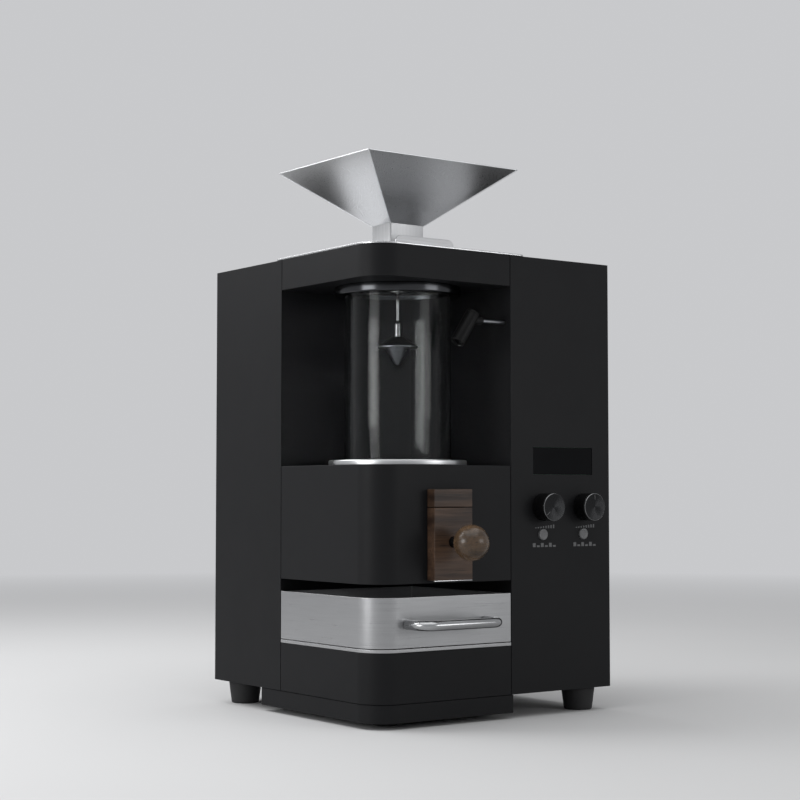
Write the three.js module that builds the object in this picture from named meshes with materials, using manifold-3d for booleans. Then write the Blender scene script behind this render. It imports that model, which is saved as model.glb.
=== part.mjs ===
// Home coffee bean roaster: a square casing with a cut-away corner module that holds a
// glass roasting chamber, a lift-off hopper on top and a cooling drawer below.
// Millimetres. X runs right along the front, Y runs back from the front, Z runs up.
// Sizes are counted from the casing's near bottom corner, where the front and the left
// face meet; the finished group is then moved so that its origin lies on the floor,
// under the middle of its overall box.

import * as THREE from "three";
import { mergeVertices } from "three/addons/utils/BufferGeometryUtils.js";
import Module from "manifold-3d";

const wasm = await Module();
wasm.setup();

// Driving dimensions of the casing
const casingWidth = 250;
const casingDepth = 250;
const casingHeight = 365;
const sheet = 1.5;
const edgeRadius = 2.5;
const footHeight = 20;

// Driving dimensions of the corner module and its two openings
const moduleSize = 138.5;
const moduleCornerRadius = 25;
const windowBottomShare = 0.5178082;
const lintelHeight = 26;
const slotBottom = 40;
const slotHeight = 54;

// Vertical axis of the roasting chamber, as shares of the module's side
const chamberXShare = 0.5126;
const chamberYShare = 0.4874;

// Clearances
const seatGap = 0.3;
const seamGap = 0.5;
const slideGap = 0.8;
const runningGap = 1;

// Working values for cuts and joins
const overrun = 2;
const fuse = 0.5;
const weldTolerance = 0.0001;

// Numbers of sides on round shapes
const largeSides = 36;
const mediumSides = 20;
const smallSides = 12;
const tinySides = 6;
const cornerSegments = 8;
const edgeSegments = 3;

// Rear cover and its outlets
const rearFlange = 12;
const rearVentWidthShare = 0.24;
const rearVentHeight = 4;
const rearVentPitchShare = 0.0273973;
const rearVentCount = 8;
const rearVentBottomShare = 0.0821918;
const rearVentXShare = 0.76;
const exhaustGrilleBar = 2;
const exhaustGrilleBars = 4;

// Skirted pan below the module, a little longer and wider than it
const panDepth = 15;
const panInset = 0.8;
const panWidthShare = 0.564;
const panLengthShare = 0.68;
const panVentLength = 50;
const panVentWidth = 5;
const panVentPitch = 12;
const panVentCount = 6;
const floorVentLength = 50;
const floorVentWidth = 6;
const floorVentPitch = 12;
const floorVentCount = 4;

// Feet
const footInset = 20.5;
const footTopRadius = 14.3;
const footBottomRadius = 12;
const footEdge = 2.5;
const padRadius = 10;
const padInset = 34;

// Steel top plate, slide gate and hopper
const topPlateReachX = 155.5;
const topPlateReachY = 150;
const topPlateFarRadius = 6;
const steelSheet = 1.5;
const gateSheet = 1.2;
const trackHeight = 6;
const trackWidth = 56;
const trackDepth = 44;
const trackSideWall = 5;
const trackRear = 22.5;
const gateFrontY = 30;
const gateRearOverlap = 4;
const tabWidth = 60;
const tabHeight = 8;
const tabCornerRadius = 6;
const neckWidth = 34;
const neckDepth = 27;
const hopperSheet = 1.2;
const collarWidth = 4;
const funnelBottom = 391.5;
const rimTop = 438.5;
const rimWidth = 154;
const rimDepth = 134;
const spigotDepth = 1.6;

// Roasting chamber
const glassRadius = 45;
const glassWall = 3;
const upperRingRadius = 51;
const upperRingHeight = 7.7;
const lowerRingRadius = 58;
const lowerRingHeight = 4.3;
const ringEdge = 1.4;
const ringSpigotWall = 3.4;
const lowerSpigotDepth = 9.3;
const upperSpigotHeight = 4;
const rebateDepth = 2.5;
const sealHeight = 1;
const ledgeWidth = 2.8;
const ledgeHeight = 1.9;
const distributorSheet = 1.5;
const distributorHoleRadius = 2;
const dropHoleRadius = 15;

// Hanging rod and bean spreader
const rodRadius = 1.3;
const rodBarWidth = 6;
const rodBarHeight = 2;
const rodEndDepth = 5;
const rodCollarRadius = 2.8;
const rodCollarDrop = 40.4;
const rodCollarHeight = 11.2;
const rodHubRadius = 7;
const rodHubDrop = 5.5;
const spreaderRadius = 17;
const spreaderDrop = 50;
const spreaderRim = 1.2;
const spreaderDepth = 15;
const spreaderRoofRadius = 5;
const spreaderRoofRise = 8;
const spreaderConeRadius = 10.5;
const spreaderTipRadius = 1.9;

// Air box and discharge chute under the chamber
const airBoxSize = 96.6;
const airBoxHeightShare = 0.4736842;
const airSheet = 1.5;
const portMargin = 2;
const chuteSize = 34;
const chuteSheet = 1.2;
const chuteFootClearance = 3;

// Discharge gate with its wooden pull
const gatePlateShare = 0.3473684;
const gatePlateWidth = 30;
const gatePlateRearReach = 1.5;
const blockLeft = 51;
const blockRight = 89.3;
const blockRise = 2.4;
const blockBelowWindow = 19.6;
const blockSplitDrop = 14.6;
const blockDepth = 10;
const blockPocketDepth = 6;
const ballRadius = 14.3;
const ballCentreOut = 33.5;
const ballX = 69.8;
const studRadius = 4;
const studInBlock = 3;
const studInBall = 4;

// Cooling drawer
const drawerHeight = 40;
const drawerLedge = 8;
const screenSheet = 1.2;
const screenHoleRadius = 2.2;
const screenHoleCount = 7;
const screenHolePitch = 15;
const handleBarRadius = 4;
const handleOut = 28;
const handleLeft = 27.3;
const handleRight = 113.8;
const handleZ = 62.3;
const handleBend = 14;
const shelfLip = 2.7;
const shelfSheet = 1.5;
const drawerLift = 0.6;

// Cooling fan
const fanSize = 80;
const fanDepth = 25;
const fanBoreRadius = 37;
const fanHubRadius = 15;
const fanBacking = 3;
const fanStrutWidth = 4;
const fanBladeCount = 7;
const fanBladeThickness = 2;
const fanBladeChord = 18;
const fanBladeTiltDegrees = 40;
const fanShaftRadius = 2;
const grilleBarWidth = 4;

// Chamber lamp
const lampY = 9;
const lampBelowWindowTop = 30;
const lampHeadX = 100.7;
const lampHeadRadius = 6;
const lampHeadAbove = 7.8;
const lampHeadBelow = 23;
const lampTiltDegrees = 33.6;
const lampKnuckleRadius = 3.4;
const lampKnuckleEndX = 116;
const lampBoreDepth = 8;
const lampRodRadius = 1.5;
const lampNutRadius = 4;
const lampNutHeight = 2.5;
const lensRadius = 4.7;
const lensThickness = 1.2;

// Control panel
const displayLeftShare = 0.2143498;
const displayRightShare = 0.8125561;
const displayBottomShare = 0.4980822;
const displayTopShare = 0.5613699;
const paneThickness = 2;
const displayModuleDepth = 9;
const knobRadius = 11.6;
const knobHeight = 14.6;
const knobEdge = 0.8;
const leftControlShare = 0.306726;
const rightControlShare = 0.713901;
const knobHeightShare = 0.4230137;
const knobShaftRadius = 3;
const knobShaftReach = 12;
const knobShaftFlat = 0.6;
const buttonRadius = 4.7;
const buttonHeightShare = 0.3602740;
const buttonOut = 1.6;
const buttonTravel = 1.5;
const buttonFlangeRadius = 6.5;
const buttonFlangeThickness = 1.2;
const buttonLength = 5;

// Control board behind the panel
const boardLeftShare = 0.1748879;
const boardRightShare = 0.8744395;
const boardBottomShare = 0.3068493;
const boardTopShare = 0.4767123;
const boardY = 24;
const boardThickness = 1.6;
const postRadius = 3;
const postInset = 5;
const potSize = 16;
const potFrontY = 6;
const keySwitchSize = 7;

// Power board on the right wall
const powerBoardFrontY = 60;
const powerBoardRearY = 150;
const powerBoardBottomShare = 0.6301370;
const powerBoardTopShare = 0.9041096;
const powerBoardOff = 7;
const transformerSize = 38;
const transformerDepth = 22;

// Blower, heater and air ducts
const blowerRadiusShare = 0.4239631;
const blowerSideClearance = 6;
const blowerRearClearance = 7.7;
const blowerBottom = 16;
const blowerHeight = 36;
const blowerWall = 2;
const blowerSpout = 16;
const blowerOutletShare = 0.3889458;
const blowerInletShare = 0.5217391;
const blowerFootRadius = 5;
const blowerFootInset = 10;
const impellerInset = 10;
const impellerHeight = 26;
const impellerDisc = 2;
const impellerBlades = 10;
const impellerBladeLength = 12;
const impellerHubRadius = 8;
const motorShaftRadius = 3;
const motorShaftLength = 12;
const motorRadiusShare = 0.5217391;
const motorHeight = 44;
const motorNeckShare = 0.5833333;
const motorNeckHeight = 4;
const heaterX = 70;
const heaterWidth = 60;
const heaterLeastDepth = 30;
const heaterDepthShare = 0.3070624;
const heaterRearClearance = 5.7;
const heaterCoreBottom = 56;
const heaterCoreShoulder = 68;
const heaterCoreThickness = 1.2;
const coilRadius = 19;
const coilWireRadius = 1.5;
const coilTurns = 6;
const coilStepsPerTurn = 8;
const coilSides = 5;
const coilBelowTop = 8;
const elbowDrop = 2.9;
const elbowRise = 8.1;
const exhaustWidth = 52;
const exhaustHeight = 17;
const exhaustBelowTop = 5;

// Mains inlet and rocker switch on the rear cover
const inletXShare = 0.812;
const inletZShare = 0.3698630;
const inletWidth = 28;
const inletHeight = 20;
const inletFlange = 4;
const inletFlangeThickness = 2;
const inletBodyDepth = 20;
const inletPocketDepth = 16;
const inletWall = 2;
const pinThickness = 2;
const pinHeight = 5;
const pinSpread = 7;
const pinRise = 2;
const switchXShare = 0.64;
const switchHalfHeight = 11;
const switchHalfWidth = 7;
const switchPocketDepth = 7;
const switchSwing = 0.9;
const rockerTiltDegrees = 8;
const rockerOut = 3.2;
const rockerDip = 1.4;
const rockerIn = 5.5;

// Values worked out from the driving dimensions
const chamberX = moduleSize * chamberXShare;
const chamberY = moduleSize * chamberYShare;
const moduleFar = moduleSize - seamGap;
const moduleInner = moduleSize + sheet;
const windowBottom = casingHeight * windowBottomShare;
const windowTop = casingHeight - lintelHeight;
const slotTop = slotBottom + slotHeight;
const middleHeight = windowBottom - slotTop;
const glassInner = glassRadius - glassWall;
const topPlateZ = casingHeight + seatGap;
const topPlateTop = topPlateZ + steelSheet;
const trackZ = topPlateTop + seatGap;
const trackTop = trackZ + trackHeight;
const gateZ = trackZ + (trackHeight - gateSheet) / 2;
const throatWidth = neckWidth - 2 * hopperSheet;
const throatDepth = neckDepth - 2 * hopperSheet;
const ceilingTop = windowTop + sheet;
const ringTop = windowTop - seatGap;
const upperRingBottom = ringTop - upperRingHeight;
const upperSpigotTop = ringTop + upperSpigotHeight + sheet;
const ringFloor = windowBottom + seatGap;
const lowerRingTop = ringFloor + lowerRingHeight;
const lowerSpigotBottom = windowBottom - lowerSpigotDepth;
const lowerRebateZ = lowerRingTop - rebateDepth;
const spigotOuter = glassInner + ringSpigotWall;
const spigotBore = glassInner + seatGap;
const airBoxTop = windowBottom - sheet - seatGap;
const airBoxBottom = airBoxTop - middleHeight * airBoxHeightShare;
const elbowBottom = airBoxBottom + elbowRise;
const elbowTop = airBoxTop - elbowDrop;
const heaterTop = elbowBottom - seatGap;
const coilTop = heaterTop - coilBelowTop;
const rearFace = casingDepth - seatGap;
const rearInside = rearFace - sheet;
const rearFlangeY = rearFace - rearFlange;
const shelfBottom = slotBottom + seatGap;
const shelfTop = shelfBottom + shelfLip;
const drawerBottom = shelfTop + drawerLift;
const drawerTop = drawerBottom + drawerHeight;
const drawerFar = moduleSize - slideGap;
const fanTop = shelfTop - shelfSheet - seatGap;
const fanBottom = fanTop - fanDepth;
const exhaustTop = casingHeight - exhaustBelowTop;
const exhaustBottom = exhaustTop - exhaustHeight;

// Discharge gate and lamp, between the module's openings
const gatePlateZ = slotTop + middleHeight * gatePlateShare;
const blockBottom = slotTop + blockRise;
const blockTop = windowBottom - blockBelowWindow;
const blockSplitZ = blockTop - blockSplitDrop;
const lampZ = windowTop - lampBelowWindowTop;
const rodCollarBottom = windowTop - rodCollarDrop;
const rodCollarTop = rodCollarBottom + rodCollarHeight;
const rodHubBottom = windowTop - rodHubDrop;
const spreaderRimZ = windowTop - spreaderDrop;
const spreaderTipZ = spreaderRimZ - spreaderDepth;

// Control panel, on the front to the right of the module
const panelWidth = casingWidth - moduleSize;
const displayLeft = moduleSize + panelWidth * displayLeftShare;
const displayRight = moduleSize + panelWidth * displayRightShare;
const displayBottom = casingHeight * displayBottomShare;
const displayTop = casingHeight * displayTopShare;
const leftControlX = moduleSize + panelWidth * leftControlShare;
const rightControlX = moduleSize + panelWidth * rightControlShare;
const knobZ = casingHeight * knobHeightShare;
const buttonZ = casingHeight * buttonHeightShare;
const boardLeft = moduleSize + panelWidth * boardLeftShare;
const boardRight = moduleSize + panelWidth * boardRightShare;
const boardBottom = casingHeight * boardBottomShare;
const boardTop = casingHeight * boardTopShare;
const powerBoardBottom = casingHeight * powerBoardBottomShare;
const powerBoardTop = casingHeight * powerBoardTopShare;

// Blower and heater, in the space beside and behind the module
const sideBay = casingWidth - sheet - moduleInner;
const rearBay = rearFlangeY - moduleInner;
const blowerRadius = sideBay * blowerRadiusShare;
const blowerX = moduleInner + blowerSideClearance + blowerRadius;
const blowerY = rearFlangeY - blowerRearClearance - blowerRadius;
const blowerOutletX = blowerX - blowerRadius - blowerSpout;
const blowerOutletWidth = rearBay * blowerOutletShare;
const blowerInletRadius = blowerRadius * blowerInletShare;
const blowerFootSpread = blowerRadius - blowerFootInset;
const impellerRadius = blowerRadius - impellerInset;
const motorRadius = blowerRadius * motorRadiusShare;
const motorNeckRadius = motorRadius * motorNeckShare;
const heaterDepth = heaterLeastDepth + rearBay * heaterDepthShare;
const heaterY = rearFlangeY - heaterRearClearance - heaterDepth / 2;
const portWidth = heaterWidth - 2 * portMargin;
const portHeight = elbowTop - elbowBottom - 2 * portMargin;

// Outlets, inlet and switch on the rear cover
const rearVentX = casingWidth * rearVentXShare;
const rearVentWidth = casingWidth * rearVentWidthShare;
const rearVentBottom = casingHeight * rearVentBottomShare;
const rearVentPitch = casingHeight * rearVentPitchShare;
const inletX = casingWidth * inletXShare;
const inletZ = casingHeight * inletZShare;
const switchX = casingWidth * switchXShare;

const quarterTurn = Math.PI / 2;
const fullTurn = Math.PI * 2;
const switchBodyHalfWidth = switchHalfWidth + seatGap + inletWall;
const switchBodyHalfHeight = switchHalfHeight + switchSwing + inletWall;

// Finishes
function finish(color, roughness, metalness) {
  return new THREE.MeshStandardMaterial({ color, roughness, metalness });
}

const blackPaint = finish(0x1d1e20, 0.55, 0.3);
const brushedSteel = finish(0xb8babb, 0.35, 0.9);
const polishedSteel = finish(0xcfd1d3, 0.18, 1);
const darkSteel = finish(0x4a4b4e, 0.32, 0.85);
const walnut = finish(0x5a4030, 0.6, 0);
const blackRubber = finish(0x101112, 0.85, 0);
const clearGlass = finish(0xdfe6e6, 0.05, 0);
const glossBlack = finish(0x08090b, 0.1, 0);
const blackPlastic = finish(0x1a1b1d, 0.5, 0);
const greyPlastic = finish(0x8e9092, 0.5, 0);
const whiteRubber = finish(0xd8d4cc, 0.7, 0);
const mica = finish(0xc9b48a, 0.8, 0);
const circuitGreen = finish(0x1f5a3a, 0.6, 0);
const heaterWire = finish(0x8a5a48, 0.4, 0.8);
const galvanised = finish(0x9a9da0, 0.5, 0.7);

// A closed three.js geometry as a solid that can be joined and cut. Triangles that have
// no area, such as those at the axis of a turned shape, are left out.
function solid(geometry) {
  geometry.deleteAttribute("normal");
  geometry.deleteAttribute("uv");
  const merged = mergeVertices(geometry, weldTolerance);
  const corners = merged.index.array;
  const kept = [];
  for (let i = 0; i < corners.length; i += 3) {
    const [a, b, c] = [corners[i], corners[i + 1], corners[i + 2]];
    if (a !== b && b !== c && c !== a) {
      kept.push(a, b, c);
    }
  }
  const mesh = new wasm.Mesh({
    numProp: 3,
    vertProperties: new Float32Array(merged.attributes.position.array),
    triVerts: new Uint32Array(kept),
  });
  return new wasm.Manifold(mesh);
}

function join(first, ...others) {
  return others.reduce((sum, other) => sum.add(other), first);
}

function cut(base, ...tools) {
  return tools.reduce((rest, tool) => rest.subtract(tool), base);
}

function block(x0, x1, y0, y1, z0, z1) {
  const geometry = new THREE.BoxGeometry(x1 - x0, y1 - y0, z1 - z0);
  geometry.translate((x0 + x1) / 2, (y0 + y1) / 2, (z0 + z1) / 2);
  return solid(geometry);
}

// A block given by its middle and its sizes in X and Y
function post(x, y, width, depth, z0, z1) {
  return block(x - width / 2, x + width / 2, y - depth / 2, y + depth / 2, z0, z1);
}

function uprightRod(x, y, radius, z0, z1, sides) {
  const geometry = new THREE.CylinderGeometry(radius, radius, z1 - z0, sides);
  geometry.rotateX(quarterTurn);
  geometry.translate(x, y, (z0 + z1) / 2);
  return solid(geometry);
}

function rodAlongY(x, z, radius, y0, y1, sides) {
  const geometry = new THREE.CylinderGeometry(radius, radius, y1 - y0, sides);
  geometry.translate(x, (y0 + y1) / 2, z);
  return solid(geometry);
}

function rodAlongX(y, z, radius, x0, x1, sides) {
  const geometry = new THREE.CylinderGeometry(radius, radius, x1 - x0, sides);
  geometry.rotateZ(quarterTurn);
  geometry.translate((x0 + x1) / 2, y, z);
  return solid(geometry);
}

function prism(outline, z0, z1) {
  const options = { depth: z1 - z0, bevelEnabled: false, curveSegments: cornerSegments };
  const geometry = new THREE.ExtrudeGeometry(outline, options);
  geometry.translate(0, 0, z0);
  return solid(geometry);
}

// A turned shape round an upright axis; the profile is a closed list of radius and height
function turned(x, y, profile, sides) {
  const closed = [...profile, profile[0]];
  const points = closed.map(([radius, height]) => new THREE.Vector2(radius, height));
  const geometry = new THREE.LatheGeometry(points, sides);
  geometry.rotateX(quarterTurn);
  geometry.translate(x, y, 0);
  return solid(geometry);
}

// The same round an axis along Y; heights count back from the front face
function turnedAlongY(x, z, profile, sides) {
  const points = profile.map(([radius, y]) => new THREE.Vector2(radius, y));
  const geometry = new THREE.LatheGeometry(points, sides);
  geometry.translate(x, 0, z);
  return solid(geometry);
}

// A square outline whose near corner is rounded
function cornerOutline(near, farX, farY, radius) {
  const outline = new THREE.Shape();
  outline.moveTo(near + radius, near);
  outline.lineTo(farX, near);
  outline.lineTo(farX, farY);
  outline.lineTo(near, farY);
  outline.lineTo(near, near + radius);
  outline.absarc(near + radius, near + radius, radius, Math.PI, Math.PI + quarterTurn);
  return outline;
}

// Four walls that share the module's rounded near corner, set in from the faces by inset
function cornerWalls(inset, farX, farY, z0, z1) {
  const inner = inset + sheet;
  const outside = cornerOutline(inset, farX, farY, moduleCornerRadius - inset);
  const inside = cornerOutline(inner, farX - sheet, farY - sheet, moduleCornerRadius - inner);
  return cut(prism(outside, z0, z1), prism(inside, z0 - overrun, z1 + overrun));
}

function moduleWalls(z0, z1) {
  return cornerWalls(0, moduleFar, moduleFar, z0, z1);
}

function moduleFloor(z0, z1) {
  return prism(cornerOutline(0, moduleFar, moduleFar, moduleCornerRadius), z0, z1);
}

// A rectangular sleeve, open at both ends, along X or Y
function sleeveAlongY(x, width, z0, z1, y0, y1, wall) {
  const left = x - width / 2;
  const right = x + width / 2;
  return cut(
    block(left, right, y0, y1, z0, z1),
    block(left + wall, right - wall, y0 - overrun, y1 + overrun, z0 + wall, z1 - wall),
  );
}

// A solid between two level rectangles at different heights
function frustum(x, y, lower, upper) {
  const corners = [];
  for (const level of [lower, upper]) {
    for (const [sideX, sideY] of [[-1, -1], [1, -1], [1, 1], [-1, 1]]) {
      corners.push(x + (sideX * level.width) / 2, y + (sideY * level.depth) / 2, level.z);
    }
  }
  const faces = [
    0, 2, 1, 0, 3, 2, 4, 5, 6, 4, 6, 7,
    0, 1, 5, 0, 5, 4, 1, 2, 6, 1, 6, 5,
    2, 3, 7, 2, 7, 6, 3, 0, 4, 3, 4, 7,
  ];
  const geometry = new THREE.BufferGeometry();
  geometry.setAttribute("position", new THREE.Float32BufferAttribute(corners, 3));
  geometry.setIndex(faces);
  return solid(geometry);
}

function tube(path, radius, sides, steps) {
  const section = new THREE.Shape();
  section.absarc(0, 0, radius, 0, fullTurn);
  const ring = section.getPoints(sides).slice(0, sides);
  const outline = new THREE.Shape(ring);
  const options = { steps, bevelEnabled: false, extrudePath: path };
  return solid(new THREE.ExtrudeGeometry(outline, options));
}

const roaster = new THREE.Group();
const parts = new THREE.Group();
roaster.add(parts);

function add(name, body, material) {
  const mesh = body.getMesh();
  const geometry = new THREE.BufferGeometry();
  geometry.setAttribute("position", new THREE.BufferAttribute(mesh.vertProperties, 3));
  geometry.setIndex(new THREE.BufferAttribute(mesh.triVerts, 1));
  geometry.computeVertexNormals();
  const piece = new THREE.Mesh(geometry, material);
  piece.name = name;
  parts.add(piece);
}

// Main casing: an L-shaped shell round the module, open at the back
function casingOutline() {
  const outline = new THREE.Shape();
  const right = casingWidth;
  const back = casingDepth;
  outline.moveTo(moduleSize, 0);
  outline.lineTo(right - edgeRadius, 0);
  outline.absarc(right - edgeRadius, edgeRadius, edgeRadius, -quarterTurn, 0);
  outline.lineTo(right, back - edgeRadius);
  outline.absarc(right - edgeRadius, back - edgeRadius, edgeRadius, 0, quarterTurn);
  outline.lineTo(edgeRadius, back);
  outline.absarc(edgeRadius, back - edgeRadius, edgeRadius, quarterTurn, Math.PI);
  outline.lineTo(0, moduleSize);
  outline.lineTo(moduleSize, moduleSize);
  outline.closePath();
  return outline;
}

function casingHollow() {
  const outline = new THREE.Shape();
  const back = casingDepth + overrun;
  outline.moveTo(moduleInner, sheet);
  outline.lineTo(casingWidth - sheet, sheet);
  outline.lineTo(casingWidth - sheet, back);
  outline.lineTo(sheet, back);
  outline.lineTo(sheet, moduleInner);
  outline.lineTo(moduleInner, moduleInner);
  outline.closePath();
  return outline;
}

function frontHole(x, z, radius) {
  return rodAlongY(x, z, radius, -overrun, sheet + overrun, mediumSides);
}

function mainCasing() {
  const cuts = [
    prism(casingHollow(), sheet, casingHeight - sheet),
    block(displayLeft, displayRight, -overrun, sheet + overrun, displayBottom, displayTop),
    frontHole(leftControlX, knobZ, knobShaftRadius + seatGap),
    frontHole(rightControlX, knobZ, knobShaftRadius + seatGap),
    frontHole(leftControlX, buttonZ, buttonRadius + seatGap),
    frontHole(rightControlX, buttonZ, buttonRadius + seatGap),
    rodAlongX(lampY, lampZ, lampRodRadius + seatGap,
      moduleSize - overrun, moduleInner + overrun, smallSides),
    block(heaterX - heaterWidth / 2 - seatGap, heaterX + heaterWidth / 2 + seatGap,
      moduleSize - overrun, moduleInner + overrun, elbowBottom - seatGap, elbowTop + seatGap),
    block(chamberX - exhaustWidth / 2 - seatGap, chamberX + exhaustWidth / 2 + seatGap,
      moduleSize - overrun, moduleInner + overrun,
      exhaustBottom - seatGap, exhaustTop + seatGap),
  ];
  for (let i = 0; i < floorVentCount; i += 1) {
    const y = blowerY + (i - (floorVentCount - 1) / 2) * floorVentPitch;
    cuts.push(post(blowerX, y, floorVentLength, floorVentWidth, -overrun, sheet + overrun));
  }
  return cut(prism(casingOutline(), 0, casingHeight), ...cuts);
}

// Rear cover: a shallow tray that plugs into the back of the casing
function rearCover() {
  const near = sheet + seatGap;
  const right = casingWidth - near;
  const top = casingHeight - near;
  const cuts = [
    block(near + sheet, right - sheet, rearFlangeY - overrun, rearInside, near + sheet, top - sheet),
    block(inletX - inletWidth / 2 - seatGap, inletX + inletWidth / 2 + seatGap,
      rearInside - overrun, rearFace + overrun,
      inletZ - inletHeight / 2 - seatGap, inletZ + inletHeight / 2 + seatGap),
    block(switchX - switchBodyHalfWidth - seatGap, switchX + switchBodyHalfWidth + seatGap,
      rearInside - overrun, rearFace + overrun,
      inletZ - switchBodyHalfHeight - seatGap, inletZ + switchBodyHalfHeight + seatGap),
  ];
  for (let i = 0; i < rearVentCount; i += 1) {
    const z = rearVentBottom + i * rearVentPitch;
    cuts.push(block(rearVentX - rearVentWidth / 2, rearVentX + rearVentWidth / 2,
      rearInside - overrun, rearFace + overrun, z, z + rearVentHeight));
  }
  const openLeft = chamberX - exhaustWidth / 2 + airSheet;
  const cell = (exhaustWidth - 2 * airSheet + exhaustGrilleBar) / (exhaustGrilleBars + 1);
  for (let i = 0; i <= exhaustGrilleBars; i += 1) {
    const x = openLeft + i * cell;
    cuts.push(block(x, x + cell - exhaustGrilleBar, rearInside - overrun, rearFace + overrun,
      exhaustBottom + airSheet, exhaustTop - airSheet));
  }
  return cut(block(near, right, rearFlangeY, rearFace, near, top), ...cuts);
}

// Corner module: lintel, middle panel and lower panel, each a ring of sheet walls
function rearPort(halfWidth, x, z0, z1) {
  return block(x - halfWidth, x + halfWidth,
    moduleFar - sheet - overrun, moduleFar + overrun, z0, z1);
}

function cornerLintel() {
  const port = rearPort(exhaustWidth / 2 - airSheet, chamberX,
    exhaustBottom + airSheet, exhaustTop - airSheet);
  return join(
    cut(moduleWalls(windowTop, casingHeight), port),
    cut(moduleFloor(windowTop, ceilingTop),
      uprightRod(chamberX, chamberY, spigotOuter + seatGap,
        windowTop - overrun, ceilingTop + overrun, largeSides)),
  );
}

function cornerMiddlePanel() {
  const floorZ = windowBottom - sheet;
  const port = rearPort(heaterWidth / 2 + seatGap, heaterX,
    elbowBottom - seatGap, elbowTop + seatGap);
  const gateSlit = block(chamberX - gatePlateWidth / 2 - seatGap,
    chamberX + gatePlateWidth / 2 + seatGap, -overrun, sheet + overrun,
    gatePlateZ - gateSheet / 2 - seatGap, gatePlateZ + gateSheet / 2 + seatGap);
  return join(
    cut(moduleWalls(slotTop, windowBottom), port, gateSlit),
    cut(moduleFloor(floorZ, windowBottom),
      uprightRod(chamberX, chamberY, spigotOuter + seatGap,
        floorZ - overrun, windowBottom + overrun, largeSides)),
  );
}

function basePan() {
  const top = -seatGap;
  const farX = casingWidth * panWidthShare;
  const farY = casingDepth * panLengthShare;
  const cuts = [];
  for (let i = 0; i < panVentCount; i += 1) {
    const y = chamberY + (i - (panVentCount - 1) / 2) * panVentPitch;
    cuts.push(post(chamberX, y, panVentLength, panVentWidth,
      -panDepth - overrun, -panDepth + sheet + overrun));
  }
  return join(
    cornerWalls(panInset, farX, farY, -panDepth, top),
    cut(prism(cornerOutline(panInset, farX, farY, moduleCornerRadius - panInset),
      -panDepth, -panDepth + sheet), ...cuts),
  );
}

// Rubber feet: three tapered ones under the casing and a low pad under the pan
function foot(x, y) {
  const top = -seatGap;
  const profile = [
    [0, -footHeight],
    [footBottomRadius - footEdge, -footHeight],
    [footBottomRadius, -footHeight + footEdge],
    [footTopRadius, top],
    [0, top],
  ];
  return turned(x, y, profile, mediumSides);
}

// Steel top plate with the throat that beans fall through
function topPlate() {
  const radius = moduleCornerRadius;
  const outline = new THREE.Shape();
  const far = topPlateFarRadius;
  outline.moveTo(radius, 0);
  outline.lineTo(topPlateReachX - far, 0);
  outline.absarc(topPlateReachX - far, far, far, -quarterTurn, 0);
  outline.lineTo(topPlateReachX, topPlateReachY - far);
  outline.absarc(topPlateReachX - far, topPlateReachY - far, far, 0, quarterTurn);
  outline.lineTo(far, topPlateReachY);
  outline.absarc(far, topPlateReachY - far, far, quarterTurn, Math.PI);
  outline.lineTo(0, radius);
  outline.absarc(radius, radius, radius, Math.PI, Math.PI + quarterTurn);
  return cut(prism(outline, topPlateZ, topPlateTop), throat(topPlateZ, topPlateTop));
}

function throat(z0, z1) {
  return post(chamberX, chamberY, throatWidth, throatDepth, z0 - overrun, z1 + overrun);
}

// Guide block on the top plate: the gate slides through it and the hopper plugs into it
function gateTrack() {
  const slotHalf = trackWidth / 2 - trackSideWall;
  const rear = chamberY + trackRear;
  const front = rear - trackDepth;
  return cut(
    block(chamberX - trackWidth / 2, chamberX + trackWidth / 2, front, rear, trackZ, trackTop),
    block(chamberX - slotHalf, chamberX + slotHalf, front - overrun, rear + overrun,
      gateZ - seatGap, gateZ + gateSheet + seatGap),
    throat(trackZ, trackTop),
    post(chamberX, chamberY, neckWidth + 2 * seatGap, neckDepth + 2 * seatGap,
      gateZ + gateSheet, trackTop + overrun),
  );
}

// Slide gate: a flat plate with a finger tab bent up at its front
function hopperGate() {
  const half = trackWidth / 2 - trackSideWall - seatGap;
  const rear = chamberY + neckDepth / 2 + gateRearOverlap;
  const tab = new THREE.Shape();
  const side = tabWidth / 2;
  const bend = tabCornerRadius;
  tab.moveTo(-side, 0);
  tab.lineTo(side, 0);
  tab.lineTo(side, tabHeight - bend);
  tab.absarc(side - bend, tabHeight - bend, bend, 0, quarterTurn);
  tab.lineTo(-side + bend, tabHeight);
  tab.absarc(-side + bend, tabHeight - bend, bend, quarterTurn, Math.PI);
  tab.closePath();
  const options = { depth: gateSheet, bevelEnabled: false, curveSegments: edgeSegments };
  const upright = new THREE.ExtrudeGeometry(tab, options);
  upright.rotateX(quarterTurn);
  upright.translate(chamberX, gateFrontY, gateZ);
  return join(
    block(chamberX - half, chamberX + half, gateFrontY - gateSheet, rear,
      gateZ, gateZ + gateSheet),
    solid(upright),
  );
}

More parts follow.
